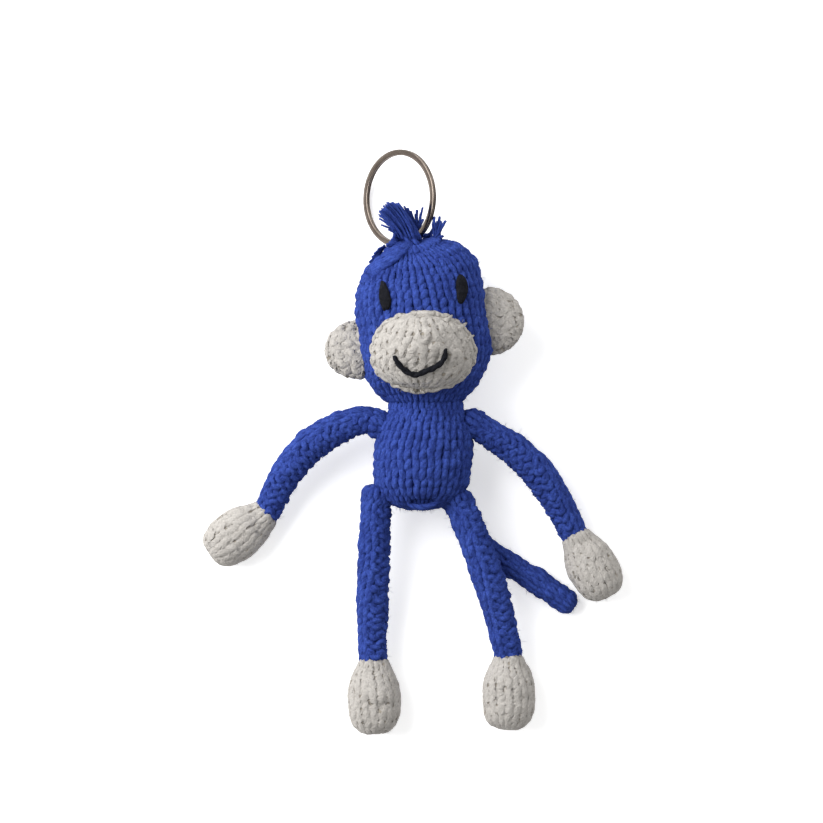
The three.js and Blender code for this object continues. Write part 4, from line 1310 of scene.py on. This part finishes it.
def make_mouth():
    """Two plies of yarn, twisted, that thin towards the corners and dip in at their ends."""
    piece = Piece()
    steps = 60
    off_middle = np.abs(np.linspace(-1, 1, steps))
    radii = mouth_ply_radius - mouth_thinner * off_middle ** 3
    height = mouth_height - mouth_dip * smoothstep(off_middle, 0.93, 1.0)
    points, out = on_muzzle(*smooth_path(mouth_route, steps).T, height)
    side = np.cross(unit(np.gradient(points, axis=0)), out)
    for ply in (0, 1):
        turn = ((np.linspace(0, mouth_twists, steps) + ply / 2) * 2 * np.pi)[:, None]
        strand = points + mouth_ply_offset * (np.cos(turn) * side + np.sin(turn) * out)
        piece.tubes(strand, out, radii, sides=8)
    piece.build("mouth_stitch", black_yarn, "head", "black_yarn", ["mouth_yarn"])


for eye_name, eye in eyes.items():
    make_eye(eye_name, *eye)
make_mouth()

# Tuft of yarn ends and wisps, each strand from three places in pixels and heights in millimetres

tuft_steps = 12
tuft_base = ((399, 237), (424, 240))  # left and right end of the tuft's root
tuft_height = 20.5
tuft_tips = [(379, 217), (381, 212), (384, 208), (388, 205), (393, 203), (399, 205)]
tuft_count = 64
tuft_radii = (0.38, 0.27)  # at a strand's root and tip
fan_tips = [(404, 206), (407, 208), (411, 211), (417, 210),
            (415, 214), (423, 207.5), (421, 213), (424, 219)]
low_tips = [(381, 225), (383.5, 226.5), (386, 224), (388, 230), (391, 227)]
gap_tips = [(421.5, 236), (425, 234), (428, 233), (430.5, 232), (433, 229.5), (434.5, 226)]
edge_tips = [(386.5, 245), (389, 243), (391, 240.5), (392.5, 238), (394, 234.5)]
right_tips = [(431, 217), (434, 219.5), (440, 216.5), (441.5, 221),
              (446, 220.5), (444, 224), (437, 222), (443, 236)]
left_tips = [(369, 262), (372, 258), (371, 264), (374, 254), (378, 249)]
# Short strands: their tips, root, height, the spread of their roots, and radii at root and tip.
# Those at the fan and the gap lie low enough for the ring to pass over them.
tuft_bunches = [
    (low_tips, (403, 237), tuft_height, 1.0, 0.36, 0.26),
    (fan_tips * 2, (417, 237), 16.5, 1.6, 0.42, 0.3),
]
wisp_bunches = [
    (right_tips * 3, (436, 240), 18.5, 2.2, 0.45, 0.32),
    (gap_tips * 3, (428, 242), 12.5, 2.0, 0.5, 0.36),
    (edge_tips * 3, (401, 246), 19.0, 1.5, 0.55, 0.42),
    (left_tips * 2, (384, 247), 18.0, 1.0, 0.36, 0.26),
]
# The knot that ties the tuft: turns of yarn round its root
knot_turns = 9
knot_place = (411, 240, 19.6)
knot_spread = (6, 2, 0.8)  # of its turns: pixels across and down, and height
knot_radius = 1.4
knot_yarn = 0.75


def scatter(place, spread, rise):
    sizes = (spread, spread, rise)
    return tuple(value + size * random.standard_normal() for value, size in zip(place, sizes))


def add_strands(piece, strands, thick, thin):
    """Strands, each a curve from three places."""
    t = np.linspace(0, 1, tuft_steps)[:, None]
    paths = []
    for strand in strands:
        a, b, c = (photo_place(*place) for place in strand)
        paths.append(a * (1 - t) ** 2 + 2 * b * t * (1 - t) + c * t ** 2)
    paths = np.array(paths)
    uneven = 1 + 0.12 * random.standard_normal((len(paths), 1))
    taper = np.linspace(thick, thin, tuft_steps)[None] * uneven
    guides = np.broadcast_to(UP, paths.shape)
    piece.tubes(clear_of_rings(paths, taper), guides, taper, sides=6, rough=0.05)


def brush_strands():
    tips = np.array(tuft_tips, float)
    strands = []
    for i in range(tuft_count):
        share = i / (tuft_count - 1)
        at = share * (len(tips) - 1)
        tip = [np.interp(at, np.arange(len(tips)), tips[:, axis]) for axis in (0, 1)]
        root = [a + (b - a) * share * 0.8 for a, b in zip(*tuft_base)]
        root = scatter((*root, tuft_height - 0.4), 1.2, 0.8)
        tip = scatter((*tip, tuft_height + 0.8 + 1.2 * math.sin(5 * i)), 1.2, 0.8)
        bend = (0.55 * root[0] + 0.45 * tip[0] + 1.5, 0.5 * (root[1] + tip[1]) - 3.5, tuft_height + 2.2)
        strands.append((root, scatter(bend, 0.8, 0.6), tip))
    return strands


def add_bunches(piece, bunches):
    for tips, root, height, spread, thick, thin in bunches:
        strands = []
        for tip in tips:
            end = scatter((*tip, height + 1.0), 0.4, 0.5)
            bend = (0.6 * root[0] + 0.4 * tip[0], 0.5 * (root[1] + tip[1]) - 1, height + 1.5)
            strands.append((scatter((*root, height - 1.5), spread, 0.4), scatter(bend, 0.5, 0.4), end))
        add_strands(piece, strands, thick, thin)


def make_tuft():
    piece = Piece()
    add_strands(piece, brush_strands(), *tuft_radii)
    add_bunches(piece, tuft_bunches)
    ring = whole_turn(24)[:, None]
    knot = []
    for i in range(knot_turns):
        turn = i / knot_turns * 2 * np.pi
        offset = np.multiply(knot_spread, (math.cos(turn), math.sin(turn), math.sin(2 * turn)))
        middle = photo_place(*(offset + knot_place))
        tilt = unit(np.array([math.cos(turn), math.sin(turn), 0.8 * math.cos(2 * turn)]))
        side, over = side_and_over(tilt)
        knot.append(middle + knot_radius * (np.cos(ring) * side + np.sin(ring) * over))
    knot = np.array(knot)
    outwards = knot - knot.mean(axis=1, keepdims=True)
    piece.tubes(clear_of_rings(knot, 0.7), outwards, knot_yarn, closed=True, rough=0)
    piece.build("tuft_strands", blue_yarn, "head", "blue_knit", ["hair_tuft"])


def make_wisps():
    piece = Piece()
    add_bunches(piece, wisp_bunches)
    piece.build("crown_wisps", blue_yarn, "head", "blue_knit")


make_tuft()
make_wisps()

# Floor and light

floor_side = 4000
floor_drop = 0.2
floor_glow = 0.5
world_light = 0.38
# What metal reflects: light from the toy's right and dark from its left
reflected_at_right = (0.9, 0.88, 0.86, 1)
reflected_at_left = (0.06, 0.05, 0.045, 1)
# Lamps: place in metres and power in watts
lamp_side = 0.9
lamps = {"key": ((-0.7, 0.35, 0.62), 16.7), "fill": ((0.7, 0.6, 0.5), 4.2)}


def make_floor():
    shader = Shader("floor")
    rays = shader.node("ShaderNodeLightPath").outputs
    seen = shader.math("MAXIMUM", rays["Is Camera Ray"], rays["Is Glossy Ray"])
    seen = shader.math("MAXIMUM", seen, rays["Is Transmission Ray"])
    glow = shader.node("ShaderNodeEmission", WHITE, floor_glow).outputs[0]
    lit = shader.finish(Base_Color=linear(246, 246, 246), Roughness=0.9)
    both = shader.node("ShaderNodeAddShader", shader.main.outputs[0], glow).outputs[0]
    chosen = shader.node("ShaderNodeMixShader", seen, shader.main.outputs[0], both).outputs[0]
    shader.set(shader.nodes["Material Output"].inputs["Surface"], chosen)
    mesh = bpy.data.meshes.new("floor")
    half, drop = floor_side / 2 * MM, -floor_drop * MM
    corners = [(x * half, y * half, drop) for x, y in ((-1, -1), (1, -1), (1, 1), (-1, 1))]
    mesh.from_pydata(corners, [], [(0, 1, 2, 3)])
    mesh.materials.append(lit)
    add_object("floor", mesh)


def make_world():
    world = bpy.data.worlds.new("world")
    bpy.context.scene.world = world
    world.use_nodes = True
    shader = Shader("world", world.node_tree)
    rays = shader.node("ShaderNodeLightPath").outputs
    aim = shader.node("ShaderNodeSeparateXYZ", shader.node("ShaderNodeTexCoord").outputs["Generated"])
    across = shader.math("MULTIPLY_ADD", aim.outputs[0], 0.5, 0.5)
    gradient = shader.ramp(across, 0.25, reflected_at_right, 0.75, reflected_at_left)
    strength = shader.math("MAXIMUM", rays["Is Camera Ray"], shader.math(
        "MULTIPLY_ADD", rays["Is Glossy Ray"], 1 - world_light, world_light))
    back = shader.nodes["Background"]
    shader.set(back.inputs[0], shader.mix(rays["Is Glossy Ray"], WHITE, gradient))
    shader.set(back.inputs[1], strength)


def make_lamp(name, location, power):
    light = add_object(name, bpy.data.lights.new(name, "AREA"))
    light.data.size = lamp_side
    light.data.energy = power
    light.location = location
    light.rotation_mode = "QUATERNION"
    light.rotation_quaternion = Vector(location).to_track_quat("Z", "Y")


make_floor()
make_world()
for lamp_name, lamp in lamps.items():
    make_lamp(lamp_name, *lamp)
bpy.context.scene.view_settings.view_transform = "Standard"
